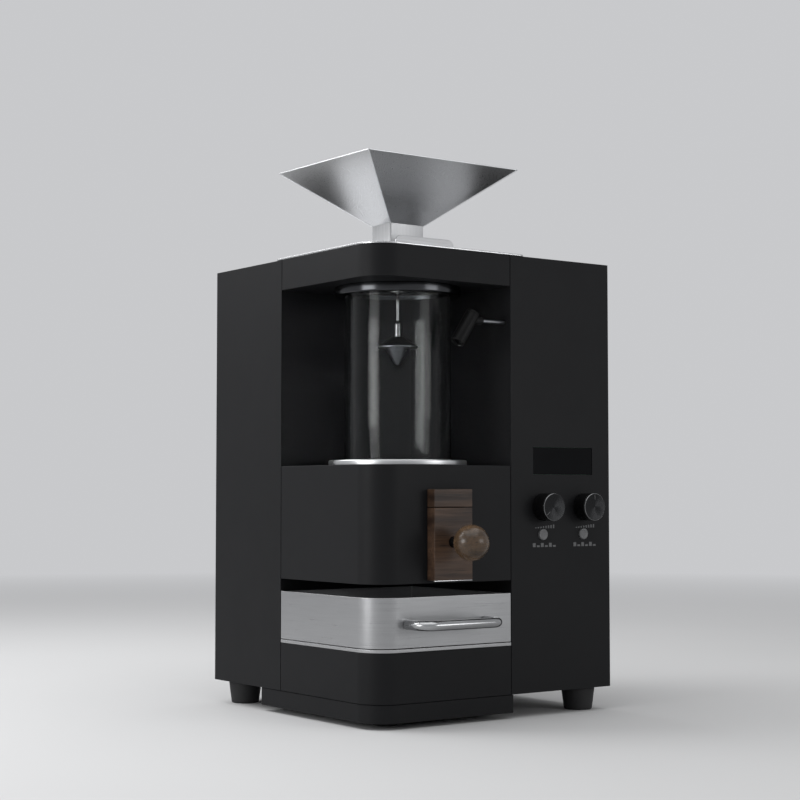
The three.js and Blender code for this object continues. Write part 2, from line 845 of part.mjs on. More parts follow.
// Hopper: an inverted pyramid of sheet on a square neck with a resting collar
function hopper() {
  const neckBottom = trackTop + seatGap;
  const spigotBottom = trackTop - spigotDepth;
  const wall = 2 * hopperSheet;
  const neck = { width: neckWidth, depth: neckDepth, z: funnelBottom };
  const rim = { width: rimWidth, depth: rimDepth, z: rimTop };
  const slopeX = (rim.width - neck.width) / (rim.z - neck.z);
  const slopeY = (rim.depth - neck.depth) / (rim.z - neck.z);
  const innerLow = { width: neck.width - wall, depth: neck.depth - wall, z: neck.z };
  const innerHigh = {
    width: rim.width - wall + overrun * slopeX,
    depth: rim.depth - wall + overrun * slopeY,
    z: rim.z + overrun,
  };
  const outside = join(
    frustum(chamberX, chamberY, neck, rim),
    post(chamberX, chamberY, neck.width, neck.depth, spigotBottom, funnelBottom),
    post(chamberX, chamberY, neck.width + 2 * collarWidth, neck.depth + 2 * collarWidth,
      neckBottom, neckBottom + hopperSheet),
  );
  return cut(
    outside,
    frustum(chamberX, chamberY, innerLow, innerHigh),
    throat(spigotBottom, funnelBottom - overrun),
  );
}

// Glass tube between the two rings, on a seal at each end
const glassBottom = lowerRebateZ + 2 * seatGap + sealHeight;
const upperRebateZ = upperRingBottom + 2 * rebateDepth;
const glassTop = upperRebateZ - 2 * seatGap - sealHeight;

function sleeve(inner, outer, z0, z1, sides) {
  const profile = [[inner, z0], [outer, z0], [outer, z1], [inner, z1]];
  return turned(chamberX, chamberY, profile, sides);
}

function seal(z0) {
  return sleeve(glassInner + 2 * seatGap, glassRadius, z0, z0 + sealHeight, mediumSides);
}

function upperRing() {
  const rebate = glassRadius + seatGap;
  const profile = [
    [rebate, upperRingBottom],
    [upperRingRadius - ringEdge, upperRingBottom],
    [upperRingRadius, upperRingBottom + ringEdge],
    [upperRingRadius, ringTop - ringEdge],
    [upperRingRadius - ringEdge, ringTop],
    [spigotOuter, ringTop],
    [spigotOuter, upperSpigotTop],
    [spigotBore, upperSpigotTop],
    [spigotBore, upperRebateZ],
    [rebate, upperRebateZ],
  ];
  return turned(chamberX, chamberY, profile, largeSides);
}

function lowerRing() {
  const rebate = glassRadius + seatGap;
  const profile = [
    [spigotBore - ledgeWidth, lowerSpigotBottom],
    [spigotOuter, lowerSpigotBottom],
    [spigotOuter, ringFloor],
    [lowerRingRadius, ringFloor],
    [lowerRingRadius, lowerRingTop - ringEdge],
    [lowerRingRadius - ringEdge, lowerRingTop],
    [rebate, lowerRingTop],
    [rebate, lowerRebateZ],
    [spigotBore, lowerRebateZ],
    [spigotBore, lowerSpigotBottom + ledgeHeight],
    [spigotBore - ledgeWidth, lowerSpigotBottom + ledgeHeight],
  ];
  return turned(chamberX, chamberY, profile, largeSides);
}

// Perforated disc that the air rises through, with the bean drop hole in its middle
const distributorZ = lowerSpigotBottom + ledgeHeight + seatGap;

function airDistributor() {
  const radius = spigotBore - seatGap;
  const top = distributorZ + distributorSheet;
  const cuts = [uprightRod(chamberX, chamberY, dropHoleRadius,
    distributorZ - overrun, top + overrun, mediumSides)];
  const rings = [
    { share: 0.56, count: 10 },
    { share: 0.8, count: 16 },
  ];
  for (const ring of rings) {
    for (let i = 0; i < ring.count; i += 1) {
      const angle = (i * fullTurn) / ring.count;
      const x = chamberX + radius * ring.share * Math.cos(angle);
      const y = chamberY + radius * ring.share * Math.sin(angle);
      cuts.push(uprightRod(x, y, distributorHoleRadius,
        distributorZ - overrun, top + overrun, tinySides));
    }
  }
  return cut(uprightRod(chamberX, chamberY, radius, distributorZ, top, mediumSides), ...cuts);
}

// Rod that hangs from a bar across the upper ring, with its collar
function hangingRod() {
  const barBottom = upperSpigotTop + seatGap;
  const barLength = 2 * (spigotOuter - seatGap);
  return join(
    post(chamberX, chamberY, barLength, rodBarWidth, barBottom, barBottom + rodBarHeight),
    uprightRod(chamberX, chamberY, rodRadius,
      spreaderRimZ - rodEndDepth, barBottom + fuse, smallSides),
    uprightRod(chamberX, chamberY, rodCollarRadius, rodCollarBottom, rodCollarTop, mediumSides),
    uprightRod(chamberX, chamberY, rodHubRadius, rodHubBottom, barBottom + fuse, mediumSides),
  );
}

function beanSpreader() {
  const bore = rodRadius + seatGap;
  const boreBottom = spreaderRimZ - rodEndDepth - seatGap;
  const roofTop = spreaderRimZ + spreaderRoofRise;
  const profile = [
    [0, spreaderTipZ],
    [spreaderTipRadius, spreaderTipZ],
    [spreaderConeRadius, spreaderRimZ - spreaderRim],
    [spreaderRadius, spreaderRimZ - spreaderRim],
    [spreaderRadius, spreaderRimZ],
    [spreaderRoofRadius, roofTop],
    [0, roofTop],
  ];
  return cut(
    turned(chamberX, chamberY, profile, mediumSides),
    uprightRod(chamberX, chamberY, bore, boreBottom, roofTop + overrun, smallSides),
  );
}

// Air box under the chamber floor, fed from the rear and crossed by the bean chute
function airBox() {
  const half = airBoxSize / 2;
  const left = chamberX - half;
  const right = chamberX + half;
  const front = chamberY - half;
  const rear = chamberY + half;
  const inner = chuteSize / 2 + seatGap;
  return cut(
    block(left, right, front, rear, airBoxBottom, airBoxTop),
    block(left + airSheet, right - airSheet, front + airSheet, rear - airSheet,
      airBoxBottom + airSheet, airBoxTop - airSheet),
    uprightRod(chamberX, chamberY, spigotOuter + seatGap,
      airBoxTop - airSheet - overrun, airBoxTop + overrun, largeSides),
    block(chamberX - inner, chamberX + inner, chamberY - inner, chamberY + inner,
      airBoxBottom - overrun, airBoxBottom + airSheet + overrun),
    block(heaterX - portWidth / 2, heaterX + portWidth / 2, rear - airSheet - overrun,
      rear + overrun, elbowBottom + airSheet, elbowBottom + airSheet + portHeight),
  );
}

function dischargeChute() {
  const half = chuteSize / 2;
  const bore = half - chuteSheet;
  const bottom = slotTop + chuteFootClearance;
  const top = lowerSpigotBottom + seatGap;
  const slitHalf = gatePlateWidth / 2 + seatGap;
  return cut(
    post(chamberX, chamberY, chuteSize, chuteSize, bottom, top),
    post(chamberX, chamberY, 2 * bore, 2 * bore, bottom - overrun, top + overrun),
    block(chamberX - slitHalf, chamberX + slitHalf,
      chamberY - half - overrun, chamberY + half + overrun,
      gatePlateZ - gateSheet / 2 - seatGap, gatePlateZ + gateSheet / 2 + seatGap),
  );
}

// Discharge gate: the plate ends inside the wooden pull
const blockBack = -seatGap;
const blockFront = blockBack - blockDepth;
const ballY = -ballCentreOut;

function dischargeGate() {
  const rear = chamberY + chuteSize / 2 + gatePlateRearReach;
  return block(chamberX - gatePlateWidth / 2, chamberX + gatePlateWidth / 2,
    blockBack - blockPocketDepth + seatGap, rear,
    gatePlateZ - gateSheet / 2, gatePlateZ + gateSheet / 2);
}

function woodBlockUpper() {
  return block(blockLeft, blockRight, blockFront, blockBack, blockSplitZ + seatGap, blockTop);
}

function woodBlockLower() {
  const pocketHalf = gatePlateWidth / 2 + seatGap;
  return cut(
    block(blockLeft, blockRight, blockFront, blockBack, blockBottom, blockSplitZ - seatGap),
    block(chamberX - pocketHalf, chamberX + pocketHalf,
      blockBack - blockPocketDepth, blockBack + overrun,
      gatePlateZ - gateSheet / 2 - seatGap, gatePlateZ + gateSheet / 2 + seatGap),
    rodAlongY(ballX, gatePlateZ, studRadius + seatGap,
      blockFront - overrun, blockFront + studInBlock + seatGap, mediumSides),
  );
}

function knobStud() {
  const ballBack = ballY + ballRadius;
  return rodAlongY(ballX, gatePlateZ, studRadius,
    ballBack - studInBall, blockFront + studInBlock, mediumSides);
}

function ballKnob() {
  const geometry = new THREE.SphereGeometry(ballRadius, mediumSides, smallSides);
  geometry.translate(ballX, ballY, gatePlateZ);
  const ballBack = ballY + ballRadius;
  return cut(
    solid(geometry),
    rodAlongY(ballX, gatePlateZ, studRadius + seatGap,
      ballBack - studInBall - seatGap, ballBack + overrun, mediumSides),
  );
}

// Cooling drawer: two faces show, the near corner is rounded and the floor is a screen
function coolingDrawer() {
  const radius = moduleCornerRadius;
  const outside = cornerOutline(0, drawerFar, drawerFar, radius);
  const inside = cornerOutline(sheet, drawerFar - sheet, drawerFar - sheet, radius - sheet);
  const ledge = sheet + drawerLedge;
  const opening = cornerOutline(ledge, drawerFar - ledge, drawerFar - ledge, radius - ledge);
  return cut(
    prism(outside, drawerBottom, drawerTop),
    prism(inside, drawerBottom + sheet, drawerTop + overrun),
    prism(opening, drawerBottom - overrun, drawerBottom + sheet + overrun),
  );
}

function drawerScreen() {
  const near = sheet + seatGap;
  const far = drawerFar - near;
  const bottom = drawerBottom + sheet + seatGap;
  const top = bottom + screenSheet;
  const middle = drawerFar / 2;
  const cuts = [];
  for (let i = 0; i < screenHoleCount; i += 1) {
    for (let j = 0; j < screenHoleCount; j += 1) {
      const x = middle + (i - (screenHoleCount - 1) / 2) * screenHolePitch;
      const y = middle + (j - (screenHoleCount - 1) / 2) * screenHolePitch;
      cuts.push(uprightRod(x, y, screenHoleRadius, bottom - overrun, top + overrun, tinySides));
    }
  }
  const plate = prism(cornerOutline(near, far, far, moduleCornerRadius - near), bottom, top);
  return cut(plate, ...cuts);
}

// Bowed bar handle: two legs that curve into a straight bar
function drawerHandle() {
  const outer = -handleOut;
  const back = -seatGap;
  const left = handleLeft;
  const right = handleRight;
  const bend = handleBend;
  const at = (x, y) => new THREE.Vector3(x, y, handleZ);
  const path = new THREE.CurvePath();
  path.add(new THREE.LineCurve3(at(left, back), at(left, outer + bend)));
  path.add(new THREE.QuadraticBezierCurve3(
    at(left, outer + bend), at(left, outer), at(left + bend, outer)));
  path.add(new THREE.LineCurve3(at(left + bend, outer), at(right - bend, outer)));
  path.add(new THREE.QuadraticBezierCurve3(
    at(right - bend, outer), at(right, outer), at(right, outer + bend)));
  path.add(new THREE.LineCurve3(at(right, outer + bend), at(right, back)));
  return tube(path, handleBarRadius, smallSides, mediumSides);
}

// Steel shelf under the drawer, with a turned-down lip and the fan opening
function drawerShelf() {
  const plateZ = shelfTop - shelfSheet;
  const far = moduleFar;
  const radius = moduleCornerRadius;
  const inner = shelfSheet;
  const grille = cut(
    uprightRod(chamberX, chamberY, fanBoreRadius, plateZ - overrun, shelfTop + overrun,
      mediumSides),
    post(chamberX, chamberY, 2 * fanBoreRadius + overrun, grilleBarWidth,
      plateZ - 2 * overrun, shelfTop + 2 * overrun),
    post(chamberX, chamberY, grilleBarWidth, 2 * fanBoreRadius + overrun,
      plateZ - 2 * overrun, shelfTop + 2 * overrun),
  );
  return cut(
    prism(cornerOutline(0, far, far, radius), shelfBottom, shelfTop),
    prism(cornerOutline(inner, far - inner, far - inner, radius - inner),
      shelfBottom - overrun, plateZ),
    grille,
  );
}

// Cooling fan: a square frame with a bearing hub, and its rotor
function fanFrame() {
  const arm = fanBoreRadius + fuse;
  const backing = fanBottom + fanBacking;
  return join(
    cut(
      post(chamberX, chamberY, fanSize, fanSize, fanBottom, fanTop),
      uprightRod(chamberX, chamberY, fanBoreRadius,
        fanBottom - overrun, fanTop + overrun, mediumSides),
    ),
    cut(
      join(
        uprightRod(chamberX, chamberY, fanHubRadius, fanBottom, backing, mediumSides),
        post(chamberX, chamberY, 2 * arm, fanStrutWidth, fanBottom, backing),
        post(chamberX, chamberY, fanStrutWidth, 2 * arm, fanBottom, backing),
      ),
      uprightRod(chamberX, chamberY, fanShaftRadius + seatGap,
        fanBottom - overrun, backing + overrun, smallSides),
    ),
  );
}

function fanRotor() {
  const hubBottom = fanBottom + fanBacking + seatGap;
  const hubTop = fanTop - runningGap;
  const middle = (hubBottom + hubTop) / 2;
  const bladeInner = fanHubRadius - runningGap;
  const bladeOuter = fanBoreRadius - runningGap;
  const tilt = THREE.MathUtils.degToRad(fanBladeTiltDegrees);
  let rotor = join(
    uprightRod(chamberX, chamberY, fanHubRadius, hubBottom, hubTop, mediumSides),
    uprightRod(chamberX, chamberY, fanShaftRadius, fanBottom, hubBottom + fuse, smallSides),
  );
  for (let i = 0; i < fanBladeCount; i += 1) {
    const blade = new THREE.BoxGeometry(
      bladeOuter - bladeInner, fanBladeThickness, fanBladeChord);
    blade.rotateX(tilt);
    blade.translate((bladeInner + bladeOuter) / 2, 0, 0);
    blade.rotateZ((i * fullTurn) / fanBladeCount);
    blade.translate(chamberX, chamberY, middle);
    rotor = rotor.add(solid(blade));
  }
  return cut(rotor, cut(
    uprightRod(chamberX, chamberY, fanSize, fanBottom, fanTop, mediumSides),
    uprightRod(chamberX, chamberY, bladeOuter, fanBottom - overrun, fanTop + overrun,
      mediumSides),
  ));
}

// Chamber lamp: a fixed rod, a head that tilts about it and its lens
function lampRod() {
  const wall = moduleSize - seatGap;
  const inside = moduleInner + seatGap;
  return join(
    rodAlongX(lampY, lampZ, lampRodRadius,
      lampKnuckleEndX - lampBoreDepth + seatGap, inside + lampNutHeight, smallSides),
    rodAlongX(lampY, lampZ, lampNutRadius, wall - lampNutHeight, wall, tinySides),
    rodAlongX(lampY, lampZ, lampNutRadius, inside, inside + lampNutHeight, tinySides),
  );
}

// A rod in the lamp head's own direction, from one height to another along its axis
function lampRound(radius, low, high, sides) {
  const geometry = new THREE.CylinderGeometry(radius, radius, high - low, sides);
  geometry.rotateX(quarterTurn);
  geometry.translate(0, 0, (low + high) / 2);
  geometry.rotateY(THREE.MathUtils.degToRad(lampTiltDegrees));
  geometry.translate(lampHeadX, lampY, lampZ);
  return solid(geometry);
}

function lampHead() {
  const pocket = lensThickness + 2 * seatGap;
  return cut(
    join(
      lampRound(lampHeadRadius, -lampHeadBelow, lampHeadAbove, mediumSides),
      rodAlongX(lampY, lampZ, lampKnuckleRadius, lampHeadX, lampKnuckleEndX, smallSides),
    ),
    lampRound(lensRadius + seatGap, -lampHeadBelow - overrun, -lampHeadBelow + pocket,
      mediumSides),
    rodAlongX(lampY, lampZ, lampRodRadius + seatGap,
      lampKnuckleEndX - lampBoreDepth, lampKnuckleEndX + overrun, smallSides),
  );
}

function lampLens() {
  const inner = -lampHeadBelow + lensThickness + seatGap;
  return lampRound(lensRadius, inner - lensThickness, inner, mediumSides);
}

// Display pane and the module behind it
function displayPane() {
  return block(displayLeft + seatGap, displayRight - seatGap, seatGap,
    seatGap + paneThickness, displayBottom + seatGap, displayTop - seatGap);
}

function displayModule() {
  const front = 2 * seatGap + paneThickness;
  return block(displayLeft, displayRight, front, front + displayModuleDepth,
    displayBottom, displayTop);
}

// Knob with a shaft that turns in its control behind the panel
function knob(x) {
  const base = -runningGap;
  const cap = base - knobHeight;
  const profile = [
    [0, cap],
    [knobRadius - knobEdge, cap],
    [knobRadius, cap + knobEdge],
    [knobRadius, base],
    [knobShaftRadius, base],
    [knobShaftRadius, knobShaftReach],
    [0, knobShaftReach],
  ];
  return turnedAlongY(x, knobZ, profile, mediumSides);
}

function button(x) {
  const flange = sheet + seamGap;
  const profile = [
    [0, -buttonOut],
    [buttonRadius, -buttonOut],
    [buttonRadius, flange],
    [buttonFlangeRadius, flange],
    [buttonFlangeRadius, flange + buttonFlangeThickness],
    [buttonRadius, flange + buttonFlangeThickness],
    [buttonRadius, buttonLength],
    [0, buttonLength],
  ];
  return turnedAlongY(x, buttonZ, profile, mediumSides);
}

// Control board with its posts, the two rotary controls and the two key switches
function controlBoard() {
  const front = sheet + seatGap;
  const rear = boardY + boardThickness;
  const keyFront = buttonLength + buttonTravel + seamGap;
  const solids = [block(boardLeft, boardRight, boardY, rear, boardBottom, boardTop)];
  for (const x of [boardLeft + postInset, boardRight - postInset]) {
    for (const z of [boardBottom + postInset, boardTop - postInset]) {
      solids.push(rodAlongY(x, z, postRadius, front, boardY + fuse, smallSides));
    }
  }
  for (const x of [leftControlX, rightControlX]) {
    solids.push(block(x - potSize / 2, x + potSize / 2, potFrontY, boardY + fuse,
      knobZ - potSize / 2, knobZ + potSize / 2));
  }
  for (const x of [leftControlX, rightControlX]) {
    solids.push(block(x - keySwitchSize / 2, x + keySwitchSize / 2, keyFront, boardY + fuse,
      buttonZ - keySwitchSize / 2, buttonZ + keySwitchSize / 2));
  }
  const bores = [leftControlX, rightControlX].map((x) => rodAlongY(x, knobZ,
    knobShaftRadius + seatGap, potFrontY - overrun, knobShaftReach + seatGap, mediumSides));
  return cut(join(...solids), ...bores);
}

// Power board on posts from the right wall
function powerBoard() {
  const wall = casingWidth - sheet - seatGap;
  const right = wall - powerBoardOff;
  const left = right - boardThickness;
  const middleY = (powerBoardFrontY + powerBoardRearY) / 2;
  const middleZ = (powerBoardBottom + powerBoardTop) / 2;
  const half = transformerSize / 2;
  const solids = [
    block(left, right, powerBoardFrontY, powerBoardRearY, powerBoardBottom, powerBoardTop),
    block(left - transformerDepth, left + fuse,
      middleY - half, middleY + half, middleZ - half, middleZ + half),
  ];
  for (const y of [powerBoardFrontY + postInset, powerBoardRearY - postInset]) {
    for (const z of [powerBoardBottom + postInset, powerBoardTop - postInset]) {
      solids.push(rodAlongX(y, z, postRadius, right - fuse, wall, smallSides));
    }
  }
  return join(...solids);
}

// Blower: a drum housing on three feet, with a side outlet along -X
const blowerTop = blowerBottom + blowerHeight;
const outletRear = blowerY + blowerRadius;
const outletFront = outletRear - blowerOutletWidth;

function blowerHousing() {
  const wall = blowerWall;
  const solids = [
    uprightRod(blowerX, blowerY, blowerRadius, blowerBottom, blowerTop, largeSides),
    block(blowerOutletX, blowerX, outletFront, outletRear, blowerBottom, blowerTop),
  ];
  for (let i = 0; i < 3; i += 1) {
    const angle = quarterTurn + (i * fullTurn) / 3;
    solids.push(uprightRod(blowerX + blowerFootSpread * Math.cos(angle),
      blowerY + blowerFootSpread * Math.sin(angle), blowerFootRadius,
      sheet + seatGap, blowerBottom + fuse, smallSides));
  }
  return cut(
    join(...solids),
    uprightRod(blowerX, blowerY, blowerRadius - wall,
      blowerBottom + wall, blowerTop - wall, largeSides),
    block(blowerOutletX - overrun, blowerX, outletFront + wall, outletRear - wall,
      blowerBottom + wall, blowerTop - wall),
    uprightRod(blowerX, blowerY, blowerInletRadius,
      blowerBottom - overrun, blowerBottom + wall + overrun, mediumSides),
    uprightRod(blowerX, blowerY, motorNeckRadius + seatGap,
      blowerTop - wall - overrun, blowerTop + overrun, mediumSides),
  );
}

const impellerBottom = blowerBottom + blowerWall + runningGap;
const impellerTop = impellerBottom + impellerHeight;
const motorZ = blowerTop + seatGap;

function blowerImpeller() {
  let wheel = join(
    uprightRod(blowerX, blowerY, impellerRadius,
      impellerTop - impellerDisc, impellerTop, mediumSides),
    uprightRod(blowerX, blowerY, impellerHubRadius,
      impellerTop - impellerHeight / 2, impellerTop, mediumSides),
    uprightRod(blowerX, blowerY, motorShaftRadius,
      impellerTop - fuse, motorZ + motorShaftLength, mediumSides),
  );
  for (let i = 0; i < impellerBlades; i += 1) {
    const blade = new THREE.BoxGeometry(
      impellerBladeLength, fanBladeThickness, impellerHeight - impellerDisc / 2);
    blade.translate(impellerRadius - runningGap - impellerBladeLength / 2, 0, 0);
    blade.rotateZ((i * fullTurn) / impellerBlades);
    blade.translate(blowerX, blowerY, impellerBottom + (impellerHeight - impellerDisc / 2) / 2);
    wheel = wheel.add(solid(blade));
  }
  return wheel;
}

function blowerMotor() {
  return cut(
    join(
      uprightRod(blowerX, blowerY, motorRadius, motorZ, motorZ + motorHeight, mediumSides),
      uprightRod(blowerX, blowerY, motorNeckRadius,
        motorZ - motorNeckHeight, motorZ + fuse, mediumSides),
    ),
    uprightRod(blowerX, blowerY, motorShaftRadius + seatGap,
      motorZ - motorNeckHeight - overrun, motorZ + motorShaftLength + seatGap, mediumSides),
  );
}

// Duct from the blower's outlet to the heater
function blowerDuct() {
  const left = heaterX + heaterWidth / 2 + seatGap;
  const right = blowerOutletX - seatGap;
  return cut(
    block(left, right, outletFront, outletRear, blowerBottom, blowerTop),
    block(left - overrun, right + overrun, outletFront + airSheet, outletRear - airSheet,
      blowerBottom + airSheet, blowerTop - airSheet),
  );
}

// Heater: an upright box with a side inlet, a mica core and a wound wire
const heaterHalfX = heaterWidth / 2;
const heaterHalfY = heaterDepth / 2;

function heaterHousing() {
  const wall = airSheet;
  const bottom = sheet + seatGap;
  const inlet = Math.min(outletRear, heaterY + heaterHalfY) - wall;
  return cut(
    post(heaterX, heaterY, heaterWidth, heaterDepth, bottom, heaterTop),
    post(heaterX, heaterY, heaterWidth - 2 * wall, heaterDepth - 2 * wall,
      bottom + wall, heaterTop + overrun),
    block(heaterX + heaterHalfX - wall - overrun, heaterX + heaterHalfX + overrun,
      outletFront + wall, inlet, blowerBottom + wall, blowerTop - wall),
  );
}

function heaterCore() {
  const reachX = heaterWidth - 2 * (airSheet + seatGap);
  const reachY = heaterDepth - 2 * (airSheet + seatGap);
  const waist = 2 * (coilRadius - coilWireRadius - seatGap);
  const thickness = heaterCoreThickness;
  const top = heaterTop - runningGap;
  return join(
    post(heaterX, heaterY, reachX, thickness, heaterCoreBottom, heaterCoreShoulder),
    post(heaterX, heaterY, thickness, reachY, heaterCoreBottom, heaterCoreShoulder),
    post(heaterX, heaterY, waist, thickness, heaterCoreShoulder - fuse, top),
    post(heaterX, heaterY, thickness, waist, heaterCoreShoulder - fuse, top),
  );
}

class CoilPath extends THREE.Curve {
  getPoint(share) {
    const angle = share * coilTurns * fullTurn;
    const bottom = heaterCoreShoulder + coilWireRadius + seatGap;
    const x = heaterX + coilRadius * Math.cos(angle);
    const y = heaterY + coilRadius * Math.sin(angle);
    return new THREE.Vector3(x, y, bottom + share * (coilTop - bottom));
  }
}

function heaterCoil() {
  return tube(new CoilPath(), coilWireRadius, coilSides, coilTurns * coilStepsPerTurn);
}

// Elbow from the heater's top to the air box, through the casing's inner wall
function airElbow() {
  const wall = airSheet;
  const left = heaterX - heaterHalfX;
  const right = heaterX + heaterHalfX;
  const front = chamberY + airBoxSize / 2 + seatGap;
  const rear = heaterY + heaterHalfY;
  return cut(
    block(left, right, front, rear, elbowBottom, elbowTop),
    block(left + wall, right - wall, front - overrun, rear - wall,
      elbowBottom + wall, elbowTop - wall),
    block(left + wall, right - wall, heaterY - heaterHalfY + wall, rear - wall,
      elbowBottom - overrun, elbowBottom + wall + overrun),
  );
}

function exhaustDuct() {
  const front = moduleFar + seatGap;
  return sleeveAlongY(chamberX, exhaustWidth, exhaustBottom, exhaustTop,
    front, rearInside - seatGap, airSheet);
}

// Mains inlet: a flanged block with a pocket and three pins
function powerInlet() {
  const face = rearFace + seatGap;
  const bottom = face - inletPocketDepth;
  const halfWidth = inletWidth / 2;
  const halfHeight = inletHeight / 2;
  const solids = [
    block(inletX - halfWidth, inletX + halfWidth, face - inletBodyDepth, face + fuse,
      inletZ - halfHeight, inletZ + halfHeight),
    block(inletX - halfWidth - inletFlange, inletX + halfWidth + inletFlange,
      face, face + inletFlangeThickness,
      inletZ - halfHeight - inletFlange, inletZ + halfHeight + inletFlange),
  ];
  const pocket = block(inletX - halfWidth + inletWall, inletX + halfWidth - inletWall,
    bottom, face + inletFlangeThickness + overrun,
    inletZ - halfHeight + inletWall, inletZ + halfHeight - inletWall);
  const pins = [[-pinSpread, -pinRise], [0, pinRise], [pinSpread, -pinRise]].map(
    ([x, z]) => block(inletX + x - pinThickness / 2, inletX + x + pinThickness / 2,
      bottom - fuse, face - inletFlangeThickness,
      inletZ + z - pinHeight / 2, inletZ + z + pinHeight / 2));
  return join(cut(join(...solids), pocket), ...pins);
}

// Rocker switch: its housing in the rear cover and the rocker that tilts in it
const switchFace = rearFace + seatGap;
const rockerY = switchFace + inletFlangeThickness / 2;

function switchHousing() {
  const body = rockerY - rockerIn - switchSwing - inletWall;
  const pocketHalf = switchHalfHeight + switchSwing;
  return cut(
    join(
      block(switchX - switchBodyHalfWidth, switchX + switchBodyHalfWidth,
        body, switchFace + fuse, inletZ - switchBodyHalfHeight, inletZ + switchBodyHalfHeight),
      block(switchX - switchBodyHalfWidth - inletWall, switchX + switchBodyHalfWidth + inletWall,
        switchFace, switchFace + inletFlangeThickness,
        inletZ - switchBodyHalfHeight - inletWall, inletZ + switchBodyHalfHeight + inletWall),
    ),
    block(switchX - switchHalfWidth - seatGap, switchX + switchHalfWidth + seatGap,
      body + inletWall, switchFace + inletFlangeThickness + overrun,
      inletZ - pocketHalf, inletZ + pocketHalf),
  );
}

function powerRocker() {
  const half = switchHalfHeight;
  const outline = new THREE.Shape();
  outline.moveTo(-half, 0);
  outline.lineTo(-half, rockerOut);
  outline.lineTo(0, rockerDip);
  outline.lineTo(half, rockerOut);
  outline.lineTo(half, 0);
  outline.lineTo(0, -rockerIn);
  outline.closePath();
  const options = { depth: 2 * switchHalfWidth, bevelEnabled: false };
  const geometry = new THREE.ExtrudeGeometry(outline, options);
  geometry.translate(0, 0, -switchHalfWidth);
  geometry.rotateY(quarterTurn);
  geometry.rotateX(THREE.MathUtils.degToRad(rockerTiltDegrees));
  geometry.translate(switchX, rockerY, inletZ);
  return solid(geometry);
}

add("main_casing", mainCasing(), blackPaint);
add("rear_cover", rearCover(), blackPaint);
add("corner_lintel", cornerLintel(), blackPaint);
add("corner_middle_panel", cornerMiddlePanel(), blackPaint);
add("corner_lower_panel", moduleWalls(0, slotBottom), blackPaint);
add("base_pan", basePan(), blackPaint);
add("foot_rear_left", foot(footInset, casingDepth - footInset), blackRubber);
add("foot_rear_right", foot(casingWidth - footInset, casingDepth - footInset), blackRubber);
add("foot_front_right", foot(casingWidth - footInset, footInset), blackRubber);
add("foot_pad_front_left", uprightRod(padInset, padInset, padRadius,
  -footHeight, -panDepth - seatGap, mediumSides), blackRubber);

add("top_plate", topPlate(), brushedSteel);
add("gate_track", gateTrack(), brushedSteel);
add("hopper_gate", hopperGate(), brushedSteel);
add("hopper", hopper(), brushedSteel);

add("glass_chamber", sleeve(glassInner, glassRadius, glassBottom, glassTop, largeSides),
  clearGlass);
add("upper_ring", upperRing(), darkSteel);
add("lower_ring", lowerRing(), polishedSteel);
add("upper_seal", seal(upperRebateZ - seatGap - sealHeight), whiteRubber);
add("lower_seal", seal(lowerRebateZ + seatGap), whiteRubber);
add("air_distributor", airDistributor(), brushedSteel);
add("spreader_rod", hangingRod(), polishedSteel);
add("bean_spreader", beanSpreader(), darkSteel);

add("air_box", airBox(), galvanised);
add("discharge_chute", dischargeChute(), brushedSteel);
add("discharge_gate", dischargeGate(), brushedSteel);
add("wood_block_upper", woodBlockUpper(), walnut);
add("wood_block_lower", woodBlockLower(), walnut);
add("knob_stud", knobStud(), polishedSteel);
add("ball_knob", ballKnob(), walnut);

add("cooling_drawer", coolingDrawer(), brushedSteel);
add("drawer_screen", drawerScreen(), brushedSteel);
add("drawer_handle", drawerHandle(), polishedSteel);
add("drawer_shelf", drawerShelf(), brushedSteel);
add("cooling_fan_frame", fanFrame(), blackPlastic);
add("cooling_fan_rotor", fanRotor(), blackPlastic);

add("lamp_rod", lampRod(), polishedSteel);
add("lamp_head", lampHead(), blackPlastic);
add("lamp_lens", lampLens(), clearGlass);

add("display_pane", displayPane(), glossBlack);
add("display_module", displayModule(), circuitGreen);
add("control_board", controlBoard(), circuitGreen);
add("heat_knob", knob(leftControlX), darkSteel);
add("fan_knob", knob(rightControlX), darkSteel);
add("light_button", button(leftControlX), greyPlastic);
add("cool_button", button(rightControlX), greyPlastic);
add("power_board", powerBoard(), circuitGreen);

add("blower_housing", blowerHousing(), blackPlastic);
add("blower_impeller", blowerImpeller(), galvanised);
add("blower_motor", blowerMotor(), galvanised);
add("blower_duct", blowerDuct(), galvanised);
add("heater_housing", heaterHousing(), galvanised);
add("heater_core", heaterCore(), mica);
add("heater_coil", heaterCoil(), heaterWire);
add("air_elbow", airElbow(), galvanised);
add("exhaust_duct", exhaustDuct(), galvanised);

add("power_inlet", powerInlet(), blackPlastic);
add("switch_housing", switchHousing(), blackPlastic);
add("power_rocker", powerRocker(), blackPlastic);

// The origin lies on the floor, under the middle of the overall box
const overall = new THREE.Box3().setFromObject(parts);
const middle = overall.getCenter(new THREE.Vector3());
parts.position.set(-middle.x, -middle.y, -overall.min.z);

export default roaster;
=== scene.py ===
import math

import bmesh
import bpy
from bpy.props import FloatProperty, FloatVectorProperty, IntProperty, PointerProperty
from bpy.types import Operator, Panel, PropertyGroup
from mathutils import Matrix, Vector


